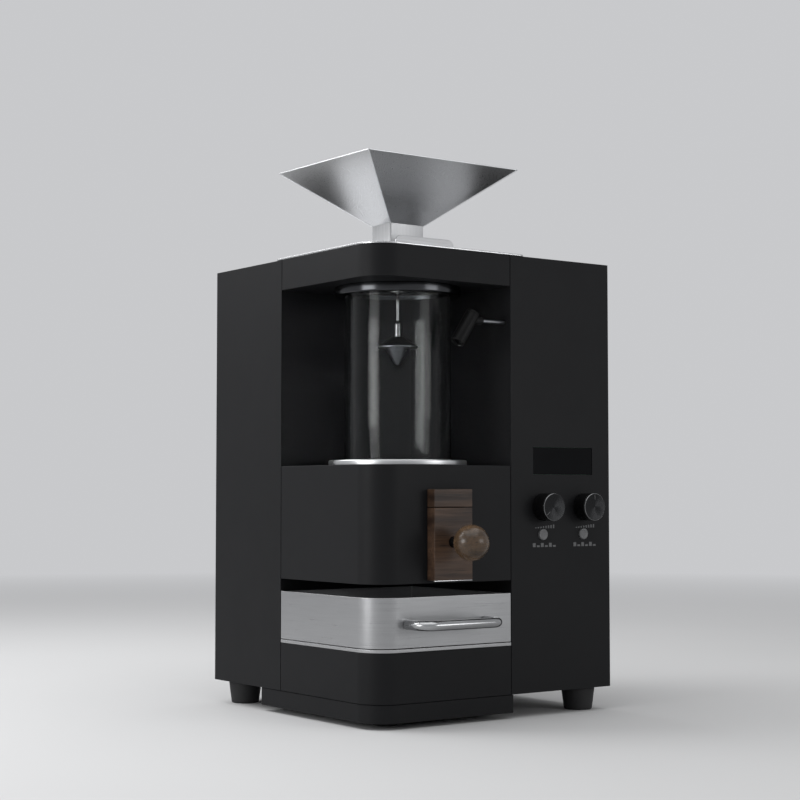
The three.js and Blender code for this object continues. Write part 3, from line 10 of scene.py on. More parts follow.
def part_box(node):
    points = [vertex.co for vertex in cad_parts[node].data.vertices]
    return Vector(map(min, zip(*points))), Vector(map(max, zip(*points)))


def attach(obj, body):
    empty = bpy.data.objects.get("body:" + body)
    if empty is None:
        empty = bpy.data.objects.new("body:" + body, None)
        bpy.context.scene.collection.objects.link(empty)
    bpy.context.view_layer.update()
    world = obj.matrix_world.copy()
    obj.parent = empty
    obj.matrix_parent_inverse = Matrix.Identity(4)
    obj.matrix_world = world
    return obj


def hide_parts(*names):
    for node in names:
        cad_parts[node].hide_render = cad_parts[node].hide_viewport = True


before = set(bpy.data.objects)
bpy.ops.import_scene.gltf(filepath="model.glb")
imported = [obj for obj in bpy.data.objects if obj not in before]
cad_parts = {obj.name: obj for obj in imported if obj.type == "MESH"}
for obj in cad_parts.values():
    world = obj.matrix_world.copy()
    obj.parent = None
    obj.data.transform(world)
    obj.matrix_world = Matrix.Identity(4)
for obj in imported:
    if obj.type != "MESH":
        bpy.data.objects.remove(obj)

bl_info = {
    "name": "Coffee Bean Roaster",
    "version": (1, 0, 0),
    "blender": (4, 5, 0),
    "location": "View3D > Sidebar > Roaster",
    "description": "Detailed pieces, finishes and a studio for a home coffee bean roaster",
    "category": "Object",
}

MM = 0.001
FULL_TURN = math.tau
QUARTER_TURN = math.pi / 2
WELD = 0.01 * MM
FINE_SIDES = 128
ROUND_SIDES = 64
SMALL_SIDES = 32
WIRE_SIDES = 12
HEXAGON = 6


# Sizes and colours that a user would change

def length(name, description, default):
    return FloatProperty(
        name=name, description=description, default=default, unit="LENGTH", precision=5
    )


def share(name, description, default):
    return FloatProperty(name=name, description=description, default=default, min=0, max=1)


def colour(name, description, default):
    return FloatVectorProperty(
        name=name, description=description, default=default, subtype="COLOR", min=0, max=1
    )


def power(name, description, default):
    return FloatProperty(name=name, description=description, default=default, unit="POWER")


class FinishSettings(PropertyGroup):
    paint: colour("Paint", "Black powder coat of the casing", (0.0084, 0.0086, 0.0095))
    steel: colour("Steel", "Brushed steel of the hopper and the drawer", (0.56, 0.565, 0.575))
    bright_steel: colour("Bright steel", "Polished steel of rods and rings", (0.7, 0.71, 0.72))
    dark_steel: colour("Dark steel", "Darkened steel of the upper ring", (0.1, 0.103, 0.11))
    walnut_light: colour("Light walnut", "Light grain of the wooden pull", (0.098, 0.056, 0.034))
    walnut_dark: colour("Dark walnut", "Dark grain of the wooden pull", (0.024, 0.013, 0.0085))
    ball_walnut: colour("Ball walnut", "Light grain of the ball knob", (0.145, 0.09, 0.051))
    rubber: colour("Rubber", "Black rubber of the feet", (0.012, 0.012, 0.013))
    glass: colour("Glass", "Tint of the roasting chamber", (0.97, 0.985, 0.985))
    button: colour("Buttons", "Grey plastic of the two buttons", (0.12, 0.122, 0.125))
    print_grey: colour("Marks", "Printed marks on the panel", (0.1, 0.102, 0.105))


class CasingSettings(PropertyGroup):
    edge: length("Edge", "Rounding of the sheet edges", 0.45 * MM)
    screw_radius: length("Screw radius", "Radius of the rear cover's screw heads", 2.6 * MM)
    foot_edge: length("Foot edge", "Rounding of the feet", 1.6 * MM)


class HopperSettings(PropertyGroup):
    sheet: length("Sheet", "Thickness of the hopper's sheet", 1.2 * MM)
    bend: length("Bend", "Radius of the four folded corners", 1.1 * MM)
    hem: length("Hem", "Depth of the folded hem inside the rim", 4 * MM)
    # The beads' paler steel is a painted highlight along the folds and the rim.
    bead: length("Bead", "Radius of the polished beads along the folds and the rim", 0.45 * MM)
    neck_seam: length("Neck seam", "Width of the open seam at the neck's near corner", 0.45 * MM)


class ChamberSettings(PropertyGroup):
    glass_wall: length("Glass wall", "Thickness of the chamber's glass", 3 * MM)
    ring_round: length("Ring rounding", "Rounding of the upper ring's outer edges", 1.6 * MM)
    ring_lip: length("Ring lip", "How far the rolled lip of the upper ring stands out", 2.2 * MM)
    base_round: length("Base rounding", "Rounding of the lower ring's upper edge", 1.2 * MM)
    brim: length("Brim", "Thickness of the bean spreader's brim", 1.1 * MM)
    cone_radius: length("Cone radius", "Radius of the cone under the brim", 10.6 * MM)


class PullSettings(PropertyGroup):
    chamfer: length("Chamfer", "Softened edge of the wooden blocks", 0.45 * MM)
    ball_flat: length("Ball flat", "Radius of the flat behind the ball", 5.2 * MM)


class DrawerSettings(PropertyGroup):
    edge: length("Edge", "Rounding of the drawer's edges", 0.35 * MM)
    bar_radius: length("Bar radius", "Radius of the handle's bar", 4 * MM)
    bend: length("Bend", "Radius of the handle's two bends", 14 * MM)
    hole_radius: length("Hole radius", "Radius of the screen's holes", 1.5 * MM)
    hole_pitch: length("Hole pitch", "Distance between the screen's holes", 4.6 * MM)


class PanelSettings(PropertyGroup):
    cap_edge: length("Cap edge", "Bright chamfer round the knobs' caps", 0.45 * MM)
    heat_line: FloatProperty(
        name="Heat line", description="Direction of the heat knob's line from upright",
        default=math.radians(-128), subtype="ANGLE",
    )
    ribs: IntProperty(name="Ribs", description="Fine ribs round each knob", default=72, min=8)
    print_height: length("Print height", "Thickness of the printed marks", 0.06 * MM)


class StageSettings(PropertyGroup):
    floor: colour("Floor", "Colour of the floor", (0.6, 0.603, 0.61))
    backdrop: colour("Backdrop", "Colour behind the object", (0.58, 0.585, 0.6))
    daylight: share("Daylight", "Strength of the light from all round", 0.32)
    key: power("Key light", "Power of the light at the left", 4.2)
    rim: power("Rim light", "Power of the light high behind the left side", 9.0)
    side: power("Side light", "Power of the light at the right", 1.8)
    top: power("Top light", "Power of the light overhead", 22.0)
    back: power("Back light", "Power of the light high behind the object", 4.5)


# Shapes

class Extent:
    """The room that a CAD node takes up."""

    def __init__(self, node):
        self.low, self.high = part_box(node)
        self.middle = (self.low + self.high) / 2
        self.radius = (self.high.x - self.low.x) / 2


class Shape:
    """A mesh in the making, in metres in the row frame."""

    def __init__(self):
        self.bm = bmesh.new()

    def turned(self, profile, place, sides=ROUND_SIDES, closed=False, ripple=None):
        """Turns (radius, height) points round the Z axis of place."""
        rings = []
        for radius, height in profile:
            if radius < WELD:
                rings.append([self.bm.verts.new(place @ Vector((0, 0, height)))])
                continue
            ring = []
            for i in range(sides):
                angle = FULL_TURN * i / sides
                reach = ripple(radius, i) if ripple else radius
                ring.append(self.bm.verts.new(
                    place @ Vector((reach * math.cos(angle), reach * math.sin(angle), height))))
            rings.append(ring)
        self.join_rings(rings, closed)
        return self

    def lathed(self, points, place, sides=ROUND_SIDES, closed=False, steps=4):
        """Turns an outline whose corners are rounded where a point has a radius."""
        return self.turned(softened(points, closed, steps), place, sides, closed)

    def join_rings(self, rings, closed=False):
        """Faces between neighbouring rings; a ring of one point makes a cone."""
        pairs = list(zip(rings, rings[1:]))
        if closed:
            pairs.append((rings[-1], rings[0]))
        for low, high in pairs:
            for i in range(max(len(low), len(high))):
                j = i + 1
                quad = (low[i % len(low)], low[j % len(low)],
                        high[j % len(high)], high[i % len(high)])
                face = list(dict.fromkeys(quad))
                if len(face) > 2:
                    self.bm.faces.new(face)

    def loops(self, levels, closed=False):
        """Joins outlines of equal length, each a list of points, and closes their ends."""
        rings = [[self.bm.verts.new(point) for point in level] for level in levels]
        self.join_rings(rings, closed)
        if not closed:
            self.bm.faces.new(rings[0])
            self.bm.faces.new(rings[-1])
        return self

    def box(self, low, high, edge=0.0):
        """A block, with softened edges where edge is more than nought."""
        made = bmesh.ops.create_cube(self.bm, size=1)["verts"]
        low, high = Vector(low), Vector(high)
        size = high - low
        for vert in made:
            vert.co = Vector(vert.co[i] * size[i] for i in range(3)) + (low + high) / 2
        if edge > 0:
            self.bevel({e for v in made for e in v.link_edges}, edge, 3)
        return self

    def bevel(self, edges, width, steps, **settings):
        bmesh.ops.bevel(self.bm, geom=list(edges), offset=width, segments=steps, profile=0.5,
                        affect="EDGES", clamp_overlap=True, **settings)

    def bar(self, path, radius, sides=SMALL_SIDES):
        """A round bar along a path."""
        rings = []
        for i, point in enumerate(path):
            ahead = (path[min(i + 1, len(path) - 1)] - path[max(i - 1, 0)]).normalized()
            side = ahead.cross(Vector((0, 0, 1))).normalized()
            rise = side.cross(ahead)
            rings.append([
                point + radius * (side * math.cos(a) + rise * math.sin(a))
                for a in (FULL_TURN * k / sides for k in range(sides))
            ])
        return self.loops(rings)

    def sheet(self, outline, holes, low, high):
        """A flat plate between two heights, with holes through it."""
        rims = []
        for height in (low, high):
            edges = []
            level = []
            for ring in (outline, *holes):
                verts = [self.bm.verts.new((x, y, height)) for x, y in ring]
                level.append(verts)
                edges += [self.bm.edges.new((a, b)) for a, b in zip(verts, verts[1:] + verts[:1])]
            bmesh.ops.triangle_fill(self.bm, edges=edges, use_beauty=True)
            rims.append(level)
        for lower, upper in zip(*rims):
            self.join_rings([lower, upper])
        return self

    def of_node(self, node, edge=0.0, steps=2, least=math.radians(35)):
        """The frame's own shape of a node; an edge width softens its sharp edges."""
        self.bm.from_mesh(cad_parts[node].data)
        bmesh.ops.remove_doubles(self.bm, verts=self.bm.verts, dist=WELD)
        if edge > 0:
            bmesh.ops.dissolve_limit(self.bm, angle_limit=math.radians(0.6), verts=self.bm.verts,
                                     edges=self.bm.edges)
            sharp = [e for e in self.bm.edges
                     if len(e.link_faces) == 2 and e.calc_face_angle(0) > least]
            self.bevel(sharp, edge, steps, miter_outer="ARC")
        return self

    def finish(self, name, coat, body, node=None, slot=None, smooth=math.radians(40),
               weighted=False):
        """Makes the piece and lets it ride on its body and stand for its node.

        The slot argument is not used.
        """
        bmesh.ops.remove_doubles(self.bm, verts=self.bm.verts, dist=WELD / 4)
        bmesh.ops.recalc_face_normals(self.bm, faces=self.bm.faces)
        mesh = bpy.data.meshes.new(name)
        self.bm.to_mesh(mesh)
        self.bm.free()
        mesh.shade_smooth()
        mesh.set_sharp_from_angle(angle=smooth)
        piece = bpy.data.objects.new(name, mesh)
        bpy.context.scene.collection.objects.link(piece)
        mesh.materials.append(FINISHES[coat])
        if weighted:
            normals = piece.modifiers.new("Even faces", "WEIGHTED_NORMAL")
            normals.keep_sharp = True
            normals.weight = 100
        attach(piece, body)
        if node:
            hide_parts(node)
        return piece


def softened_node(node, name, coat, edge, body="casing", slot=None, **more):
    """A piece in a CAD node's own shape, with its sharp edges rounded off."""
    Shape().of_node(node, edge, **more).finish(name, coat, body, node, slot, weighted=True)


def second_finish(piece, coat, within):
    """Gives the faces whose middle lies within some bounds another finish."""
    piece.data.materials.append(FINISHES[coat])
    for polygon in piece.data.polygons:
        if within(polygon.center):
            polygon.material_index = 1


def softened(points, closed=True, steps=4):
    """Rounds the corners of an outline; each point is (x, y) or (x, y, radius)."""
    result = []
    count = len(points)
    for i, point in enumerate(points):
        corner = Vector(point[:2])
        radius = point[2] if len(point) > 2 else 0
        if radius == 0 or (not closed and i in (0, count - 1)):
            result.append(tuple(corner))
            continue
        before = Vector(points[i - 1][:2]) - corner
        after = Vector(points[(i + 1) % count][:2]) - corner
        half = before.angle(after) / 2
        reach = min(radius / math.tan(half), before.length * 0.49, after.length * 0.49)
        radius = reach * math.tan(half)
        toward = (before.normalized() + after.normalized()).normalized()
        middle = corner + toward * (radius / math.sin(half))
        start = corner + before.normalized() * reach - middle
        end = corner + after.normalized() * reach - middle
        turn = math.atan2(start.x * end.y - start.y * end.x, start.dot(end))
        for k in range(steps + 1):
            c, s = math.cos(turn * k / steps), math.sin(turn * k / steps)
            result.append((middle.x + start.x * c - start.y * s,
                           middle.y + start.x * s + start.y * c))
    return result


def washer(inner, outer, low, high, edge):
    """The section of a plain ring, with all four edges rounded."""
    return [(inner, low, edge), (outer, low, edge), (outer, high, edge), (inner, high, edge)]


def plug(radius, low, high, edge):
    """The section of a plain rod, with both rims rounded."""
    return [(0, low), (radius, low, edge), (radius, high, edge), (0, high)]


def circle(x, y, radius, sides=SMALL_SIDES):
    return [(x + radius * math.cos(FULL_TURN * i / sides),
             y + radius * math.sin(FULL_TURN * i / sides)) for i in range(sides)]


def upright(extent):
    return Matrix.Translation((extent.middle.x, extent.middle.y, 0))


def facing_front(extent):
    """A place whose Z axis points forward, along -Y, from the plane y = 0."""
    return (Matrix.Translation((extent.middle.x, 0, extent.middle.z))
            @ Matrix.Rotation(QUARTER_TURN, 4, "X"))


def along_x(extent):
    return (Matrix.Translation((0, extent.middle.y, extent.middle.z))
            @ Matrix.Rotation(QUARTER_TURN, 4, "Y"))


# Finishes

class Nodes:
    """A node tree, with short ways to fill it."""

    def __init__(self, tree):
        self.tree = tree

    def node(self, kind, **settings):
        made = self.tree.nodes.new(kind)
        for setting, value in settings.items():
            setattr(made, setting, value)
        return made

    def link(self, source, target):
        self.tree.links.new(source, target)

    def maths(self, operation, first, second, **settings):
        """Works one value out from two sockets."""
        made = self.node("ShaderNodeMath", operation=operation, **settings)
        self.link(first, made.inputs[0])
        self.link(second, made.inputs[1])
        return made.outputs["Value"]

    def glow(self, kind, tint, strength=1):
        """A background or an emission of one colour."""
        made = self.node(kind)
        made.inputs["Color"].default_value = (*tint, 1)
        made.inputs["Strength"].default_value = strength
        return made.outputs[0]

    def choice(self, factor, first, second):
        """Mixes two shaders."""
        made = self.node("ShaderNodeMixShader")
        for source, target in zip((factor, first, second), made.inputs):
            self.link(source, target)
        return made.outputs[0]

    def seen_directly(self):
        """One for camera, glossy and transmission rays, so that all of them show the backdrop."""
        path = self.node("ShaderNodeLightPath")
        direct = self.maths("ADD", path.outputs["Is Camera Ray"], path.outputs["Is Glossy Ray"])
        return self.maths("ADD", direct, path.outputs["Is Transmission Ray"], use_clamp=True)


class Finish(Nodes):
    """A node material with its coordinates, patterns and bump."""

    def __init__(self, name, base, metallic=0.0, roughness=0.5, **sockets):
        self.material = bpy.data.materials.new(name)
        self.material.use_nodes = True
        super().__init__(self.material.node_tree)
        self.shader = self.tree.nodes["Principled BSDF"]
        self.shader.inputs["Base Color"].default_value = (*base, 1)
        self.shader.inputs["Metallic"].default_value = metallic
        self.shader.inputs["Roughness"].default_value = roughness
        for socket, value in sockets.items():
            self.shader.inputs[socket.replace("_", " ")].default_value = value
        self.place = self.node("ShaderNodeTexCoord").outputs["Object"]
        self.relief = None

    def pattern(self, scale, stretch=(1, 1, 1), detail=3.0, kind="ShaderNodeTexNoise"):
        """A noise of so many waves to the metre, stretched along the axes."""
        mapping = self.node("ShaderNodeMapping")
        mapping.inputs["Scale"].default_value = stretch
        self.link(self.place, mapping.inputs["Vector"])
        texture = self.node(kind)
        texture.inputs["Scale"].default_value = scale
        texture.inputs["Detail"].default_value = detail
        self.link(mapping.outputs["Vector"], texture.inputs["Vector"])
        return texture.outputs[0]

    def crystals(self, scale):
        """The distance to the nearest of many scattered seeds."""
        return self.pattern(scale, kind="ShaderNodeTexVoronoi")

    def ranged(self, source, low, high, start=0.3, end=0.7):
        """Spreads a pattern between two values."""
        span = self.node("ShaderNodeMapRange")
        for socket, value in (("From Min", start), ("From Max", end),
                              ("To Min", low), ("To Max", high)):
            span.inputs[socket].default_value = value
        self.link(source, span.inputs["Value"])
        return span.outputs["Result"]

    def blend(self, factor, first, second):
        """Mixes two colours, each a colour or another socket."""
        mix = self.node("ShaderNodeMix", data_type="RGBA")
        self.link(factor, mix.inputs["Factor"])
        for socket, value in (("A", first), ("B", second)):
            target = [i for i in mix.inputs if i.name == socket and i.type == "RGBA"][0]
            if isinstance(value, bpy.types.NodeSocket):
                self.link(value, target)
            else:
                target.default_value = (*value, 1)
        return [o for o in mix.outputs if o.type == "RGBA"][0]

    def mottled(self, pattern, tint, dark, light):
        """Shades a colour by a pattern."""
        return self.blend(self.ranged(pattern, 0, 1), shade(tint, dark), shade(tint, light))

    def coloured(self, socket):
        self.link(socket, self.shader.inputs["Base Color"])

    def rough(self, socket):
        self.link(socket, self.shader.inputs["Roughness"])

    def bumped(self, height, strength, distance):
        bump = self.node("ShaderNodeBump")
        bump.inputs["Strength"].default_value = strength
        bump.inputs["Distance"].default_value = distance
        self.link(height, bump.inputs["Height"])
        if self.relief:
            self.link(self.relief, bump.inputs["Normal"])
        self.relief = bump.outputs["Normal"]
        self.link(self.relief, self.shader.inputs["Normal"])

    def edges(self, radius):
        """One on convex and concave edges within radius, else nought."""
        rounded = self.node("ShaderNodeBevel", samples=4)
        rounded.inputs["Radius"].default_value = radius
        surface = self.node("ShaderNodeNewGeometry")
        dot = self.node("ShaderNodeVectorMath", operation="DOT_PRODUCT")
        self.link(rounded.outputs["Normal"], dot.inputs[0])
        self.link(surface.outputs["Normal"], dot.inputs[1])
        return self.ranged(dot.outputs["Value"], 1, 0, 0.75, 0.995)


def shade(tint, factor):
    return tuple(min(1, part * factor) for part in tint)


def powder_coat(name, tint):
    """Satin powder coat: a fine orange peel, faint clouds, and edges lightened in patches as a
    painted highlight.
    """
    made = Finish(name, tint, 0.0, 0.5, Specular_IOR_Level=0.13)
    # Painted highlight: edges within 0.7 mm are lightened towards four times the tint, broken up
    # by a noise.
    highlight_breakup = made.ranged(made.pattern(210, detail=5), 0, 0.55, 0.42, 0.62)
    rim = made.maths("MULTIPLY", made.edges(0.7 * MM), highlight_breakup)
    body = made.mottled(made.pattern(9, detail=4), tint, 0.95, 1.06)
    made.coloured(made.blend(rim, body, shade(tint, 4.2)))
    made.rough(made.ranged(made.pattern(34, detail=5), 0.48, 0.53))
    made.bumped(made.pattern(1500, detail=2), 0.12, 0.06 * MM)
    return made.material


def brushed(name, tint, stretch, roughness=0.3, contrast=0.1, grain=900, anisotropic=0.45,
            relief=0.1):
    """Brushed steel: long fine scratches and a cloudy sheen."""
    made = Finish(name, tint, 1.0, roughness, Anisotropic=anisotropic)
    scratches = made.pattern(grain, stretch, detail=6)
    clouds = made.ranged(made.pattern(11, detail=3), 0, 0.3)
    streaks = made.mottled(scratches, tint, 1 - contrast, 1 + contrast)
    made.coloured(made.blend(clouds, streaks, shade(tint, 0.88)))
    made.rough(made.ranged(scratches, roughness * 0.85, roughness * 1.15))
    made.bumped(scratches, relief, 0.02 * MM)
    return made.material


def polished(name, tint, roughness):
    """Smooth metal with faint haze and fine turning marks."""
    made = Finish(name, tint, 1.0, roughness)
    haze = made.pattern(26, detail=5)
    made.coloured(made.mottled(haze, tint, 0.9, 1.07))
    made.rough(made.ranged(haze, roughness * 0.75, roughness * 1.35))
    made.bumped(made.pattern(1400, (0.15, 0.15, 1), detail=2), 0.05, 0.02 * MM)
    return made.material


def spun(name, tint):
    """A spun metal cap: fine grain and a sheen that turns with its rings."""
    made = Finish(name, tint, 1.0, 0.3, Anisotropic=0.85)
    around = made.node("ShaderNodeTangent", direction_type="RADIAL", axis="Y")
    made.link(around.outputs["Tangent"], made.shader.inputs["Tangent"])
    grain = made.pattern(2600, detail=2)
    made.coloured(made.mottled(grain, tint, 0.86, 1.1))
    made.rough(made.ranged(grain, 0.24, 0.34))
    return made.material


def walnut(name, light, dark, shift=0.0, roughness=0.42, sheen=0.3):
    """Oiled walnut: wavy figure along X, pores, and a soft sheen."""
    made = Finish(name, dark, 0.0, roughness, Specular_IOR_Level=sheen)
    move = made.node("ShaderNodeMapping")
    move.inputs["Location"].default_value = (shift, shift * 0.7, shift * 1.9)
    made.link(made.place, move.inputs["Vector"])
    made.place = move.outputs["Vector"]
    figure = made.pattern(30, (0.35, 1.6, 4.2), detail=6)
    fibre = made.pattern(420, (0.05, 1, 1), detail=4)
    pores = made.pattern(900, (0.045, 1, 1), detail=1)
    ground = made.blend(made.ranged(figure, 0, 1, 0.34, 0.66), dark, light)
    ground = made.blend(made.ranged(fibre, 0, 0.5, 0.35, 0.7), ground, shade(dark, 0.8))
    made.coloured(made.blend(made.ranged(pores, 0, 0.8, 0.62, 0.72), ground, shade(dark, 0.35)))
    made.rough(made.ranged(fibre, roughness * 0.8, roughness * 1.2))
    made.bumped(fibre, 0.2, 0.08 * MM)
    made.bumped(pores, 0.25, 0.1 * MM)
    return made.material


def moulded(name, tint, roughness=0.5, sheen=0.5, grain=1100, strength=0.15):
    """Moulded plastic or rubber with a fine spark grain."""
    made = Finish(name, tint, 0.0, roughness, Specular_IOR_Level=sheen)
    clouds = made.pattern(40, detail=4)
    made.coloured(made.mottled(clouds, tint, 0.88, 1.12))
    made.rough(made.ranged(clouds, roughness * 0.9, roughness * 1.1))
    made.bumped(made.pattern(grain, detail=2), strength, 0.08 * MM)
    return made.material


def clear(name, tint):
    """Heat-proof glass, with the faintest haze where hands and beans have rubbed it."""
    made = Finish(name, tint, 0.0, 0.01, Transmission_Weight=1.0, IOR=1.19)
    made.rough(made.ranged(made.pattern(22, detail=4), 0.0, 0.012, 0.45, 0.75))
    return made.material


def galvanised(name, tint):
    """Zinc-coated sheet with its spangle of crystals."""
    made = Finish(name, tint, 0.9, 0.42)
    spangle = made.crystals(170)
    made.coloured(made.blend(made.ranged(spangle, 0, 1, 0.1, 0.7), shade(tint, 0.72), tint))
    made.rough(made.ranged(spangle, 0.32, 0.5, 0.1, 0.7))
    return made.material


def circuit_board(name, tint):
    """Green lacquer over copper tracks."""
    made = Finish(name, tint, 0.0, 0.35)
    tracks = made.crystals(240)
    made.coloured(made.blend(made.ranged(tracks, 1, 0, 0.05, 0.2), tint, shade(tint, 1.9)))
    made.bumped(tracks, 0.2, 0.05 * MM)
    return made.material


FINISHES = {}


def make_finishes(look):
    """Every finish of the roaster, by the name of the record's slot or of a special piece."""
    steel, bright, dark = look.steel, look.bright_steel, look.dark_steel
    recipes = {
        "black_paint": (powder_coat, look.paint),
        # Tint, stretch of the scratches, roughness, contrast, grain, anisotropy, relief
        "brushed_steel": (brushed, shade(steel, 0.68), (0.02, 0.02, 1), 0.32, 0.05, 1300, 0.3,
                          0.05),
        "hopper_steel": (brushed, shade(steel, 0.82), (1, 1, 0.03), 0.3, 0.02, 1600, 0.0, 0.008),
        "plate_steel": (brushed, steel, (0.03, 1, 1), 0.27),
        "neck_steel": (brushed, shade(steel, 0.8), (1, 1, 0.02), 0.44, 0.12, 1300, 0.0, 0.05),
        "gate_steel": (brushed, shade(steel, 0.72), (0.03, 1, 1), 0.34),
        # Tint, roughness
        # Paler than the hopper's steel: a painted highlight along the folds and the rim.
        "bead_steel": (polished, shade(bright, 1.15), 0.4),
        "polished_steel": (polished, bright, 0.17),
        "dark_steel": (polished, dark, 0.24),
        "satin_steel": (polished, shade(dark, 1.9), 0.32),
        "handle_steel": (polished, shade(bright, 0.5), 0.2),
        "ring_black": (polished, shade(dark, 0.5), 0.2),
        "rod_steel": (polished, shade(bright, 0.32), 0.12),
        "ring_steel": (polished, shade(bright, 0.85), 0.34),
        "cap_edge": (polished, (0.17, 0.172, 0.176), 0.22),
        "heater_wire": (polished, (0.36, 0.2, 0.14), 0.35),
        "spun_cap": (spun, (0.024, 0.0245, 0.0255)),
        "clear_glass": (clear, look.glass),
        # Light grain, dark grain, shift along the log, roughness, sheen
        "walnut": (walnut, look.walnut_light, look.walnut_dark),
        "walnut_cap": (walnut, shade(look.walnut_light, 0.8), shade(look.walnut_dark, 0.8), 0.31),
        "walnut_ball": (walnut, look.ball_walnut, shade(look.ball_walnut, 0.3), 0.73, 0.27, 0.42),
        # Tint, roughness, sheen, grain, strength of the grain
        "black_rubber": (moulded, look.rubber, 0.75, 0.5, 700, 0.25),
        "seal_rubber": (moulded, (0.03, 0.03, 0.03), 0.6),
        "black_plastic": (moulded, (0.012, 0.012, 0.013), 0.42, 0.3),
        "lamp_black": (moulded, (0.0028, 0.0028, 0.003), 0.42, 0.12),
        "knob_body": (moulded, (0.004, 0.004, 0.0043), 0.38, 0.15, 1600, 0.08),
        "gloss_black": (moulded, (0.003, 0.0032, 0.0038), 0.1, 0.07, 30, 0.02),
        "grey_plastic": (moulded, look.button, 0.4),
        "mica": (moulded, (0.5, 0.38, 0.22), 0.7, 0.5, 300, 0.4),
        "print_grey": (moulded, look.print_grey, 0.6),
        "cap_line": (moulded, (0.1, 0.102, 0.104), 0.5),
        "galvanised": (galvanised, (0.42, 0.43, 0.45)),
        "circuit": (circuit_board, (0.02, 0.13, 0.06)),
    }
    for name, (maker, *values) in recipes.items():
        FINISHES[name] = maker(name, *values)


# Casing, corner module and feet

SHEET_NODES = ("main_casing", "corner_lintel", "corner_middle_panel", "corner_lower_panel",
               "base_pan")


def build_casing(look):
    for node in SHEET_NODES:
        softened_node(node, f"painted_{node}", "black_paint", look.edge)
    Shape().of_node("rear_cover").finish(
        "painted_rear_cover", "black_paint", "casing", "rear_cover", smooth=0)
    rear = Extent("rear_cover")
    low, high = rear.low, rear.high
    inset = 6.5 * MM
    columns = (low.x + inset, high.x - inset)
    heights = (low.z + inset, low.z * 0.66 + high.z * 0.34, low.z * 0.34 + high.z * 0.66,
               high.z - inset)
    places = [(x, high.y, z) for x in columns for z in heights]
    for number, place in enumerate(places, 1):
        screw(f"rear_screw_{number}", place, look.screw_radius)


def screw(name, place, radius):
    """A pan head with a round recess, on a face that looks back."""
    rise = radius * 0.55
    recess = radius * 0.42
    Shape().lathed([
        (0, 0), (radius, 0), (radius, rise, rise * 0.8), (recess, rise, radius * 0.06),
        (radius * 0.3, rise * 0.35), (0, rise * 0.25),
    ], Matrix.Translation(place) @ Matrix.Rotation(-QUARTER_TURN, 4, "X"), SMALL_SIDES).finish(
        name, "dark_steel", "casing")


def build_feet(look):
    edge = look.foot_edge
    taper, band, hollow = 2.3 * MM, 2.2 * MM, 3 * MM
    for node in ("foot_rear_left", "foot_rear_right", "foot_front_right"):
        foot = Extent(node)
        low, high, top = foot.low.z, foot.high.z, foot.radius
        recess = top * 0.42
        Shape().lathed([
            (0, low + hollow), (recess, low + hollow, edge / 3), (recess, low, edge / 3),
            (top - taper, low, edge), (top, high - band, edge / 2), (top, high, edge / 3),
            (0, high),
        ], upright(foot)).finish(
            node.replace("foot", "rubber_foot"), "black_rubber", "casing", node)
    pad = Extent("foot_pad_front_left")
    Shape().lathed(plug(pad.radius, pad.low.z, pad.high.z, edge / 2), upright(pad)).finish(
        "rubber_pad_front_left", "black_rubber", "casing", "foot_pad_front_left")


# Steel on top: plate, track, slide gate and hopper

def build_top_steel():
    for node, body, coat, edge in (("top_plate", "casing", "plate_steel", 0.3),
                                   ("gate_track", "casing", "plate_steel", 0.4),
                                   ("hopper_gate", "hopper_gate", "gate_steel", 0.25)):
        softened_node(node, f"steel_{node}", coat, edge * MM, body, "brushed_steel",
                      least=math.radians(25))


CORNERS = ((-1, -1), (1, -1), (1, 1), (-1, 1))


def rounded_rectangle(half_x, half_y, z, radius, x, y, notch):
    """A level rectangle with rounded corners; its near left corner may have a notch."""
    steps = 4
    points = []
    for side_x, side_y in CORNERS:
        start = math.atan2(side_y, side_x) - math.pi / 4
        for k in range(steps + 1):
            angle = start + QUARTER_TURN * k / steps
            notched = (side_x, side_y) == CORNERS[0] and k == steps // 2
            reach = radius - notch if notched else radius
            points.append((x + side_x * (half_x - radius) + reach * math.cos(angle),
                           y + side_y * (half_y - radius) + reach * math.sin(angle), z))
    return points


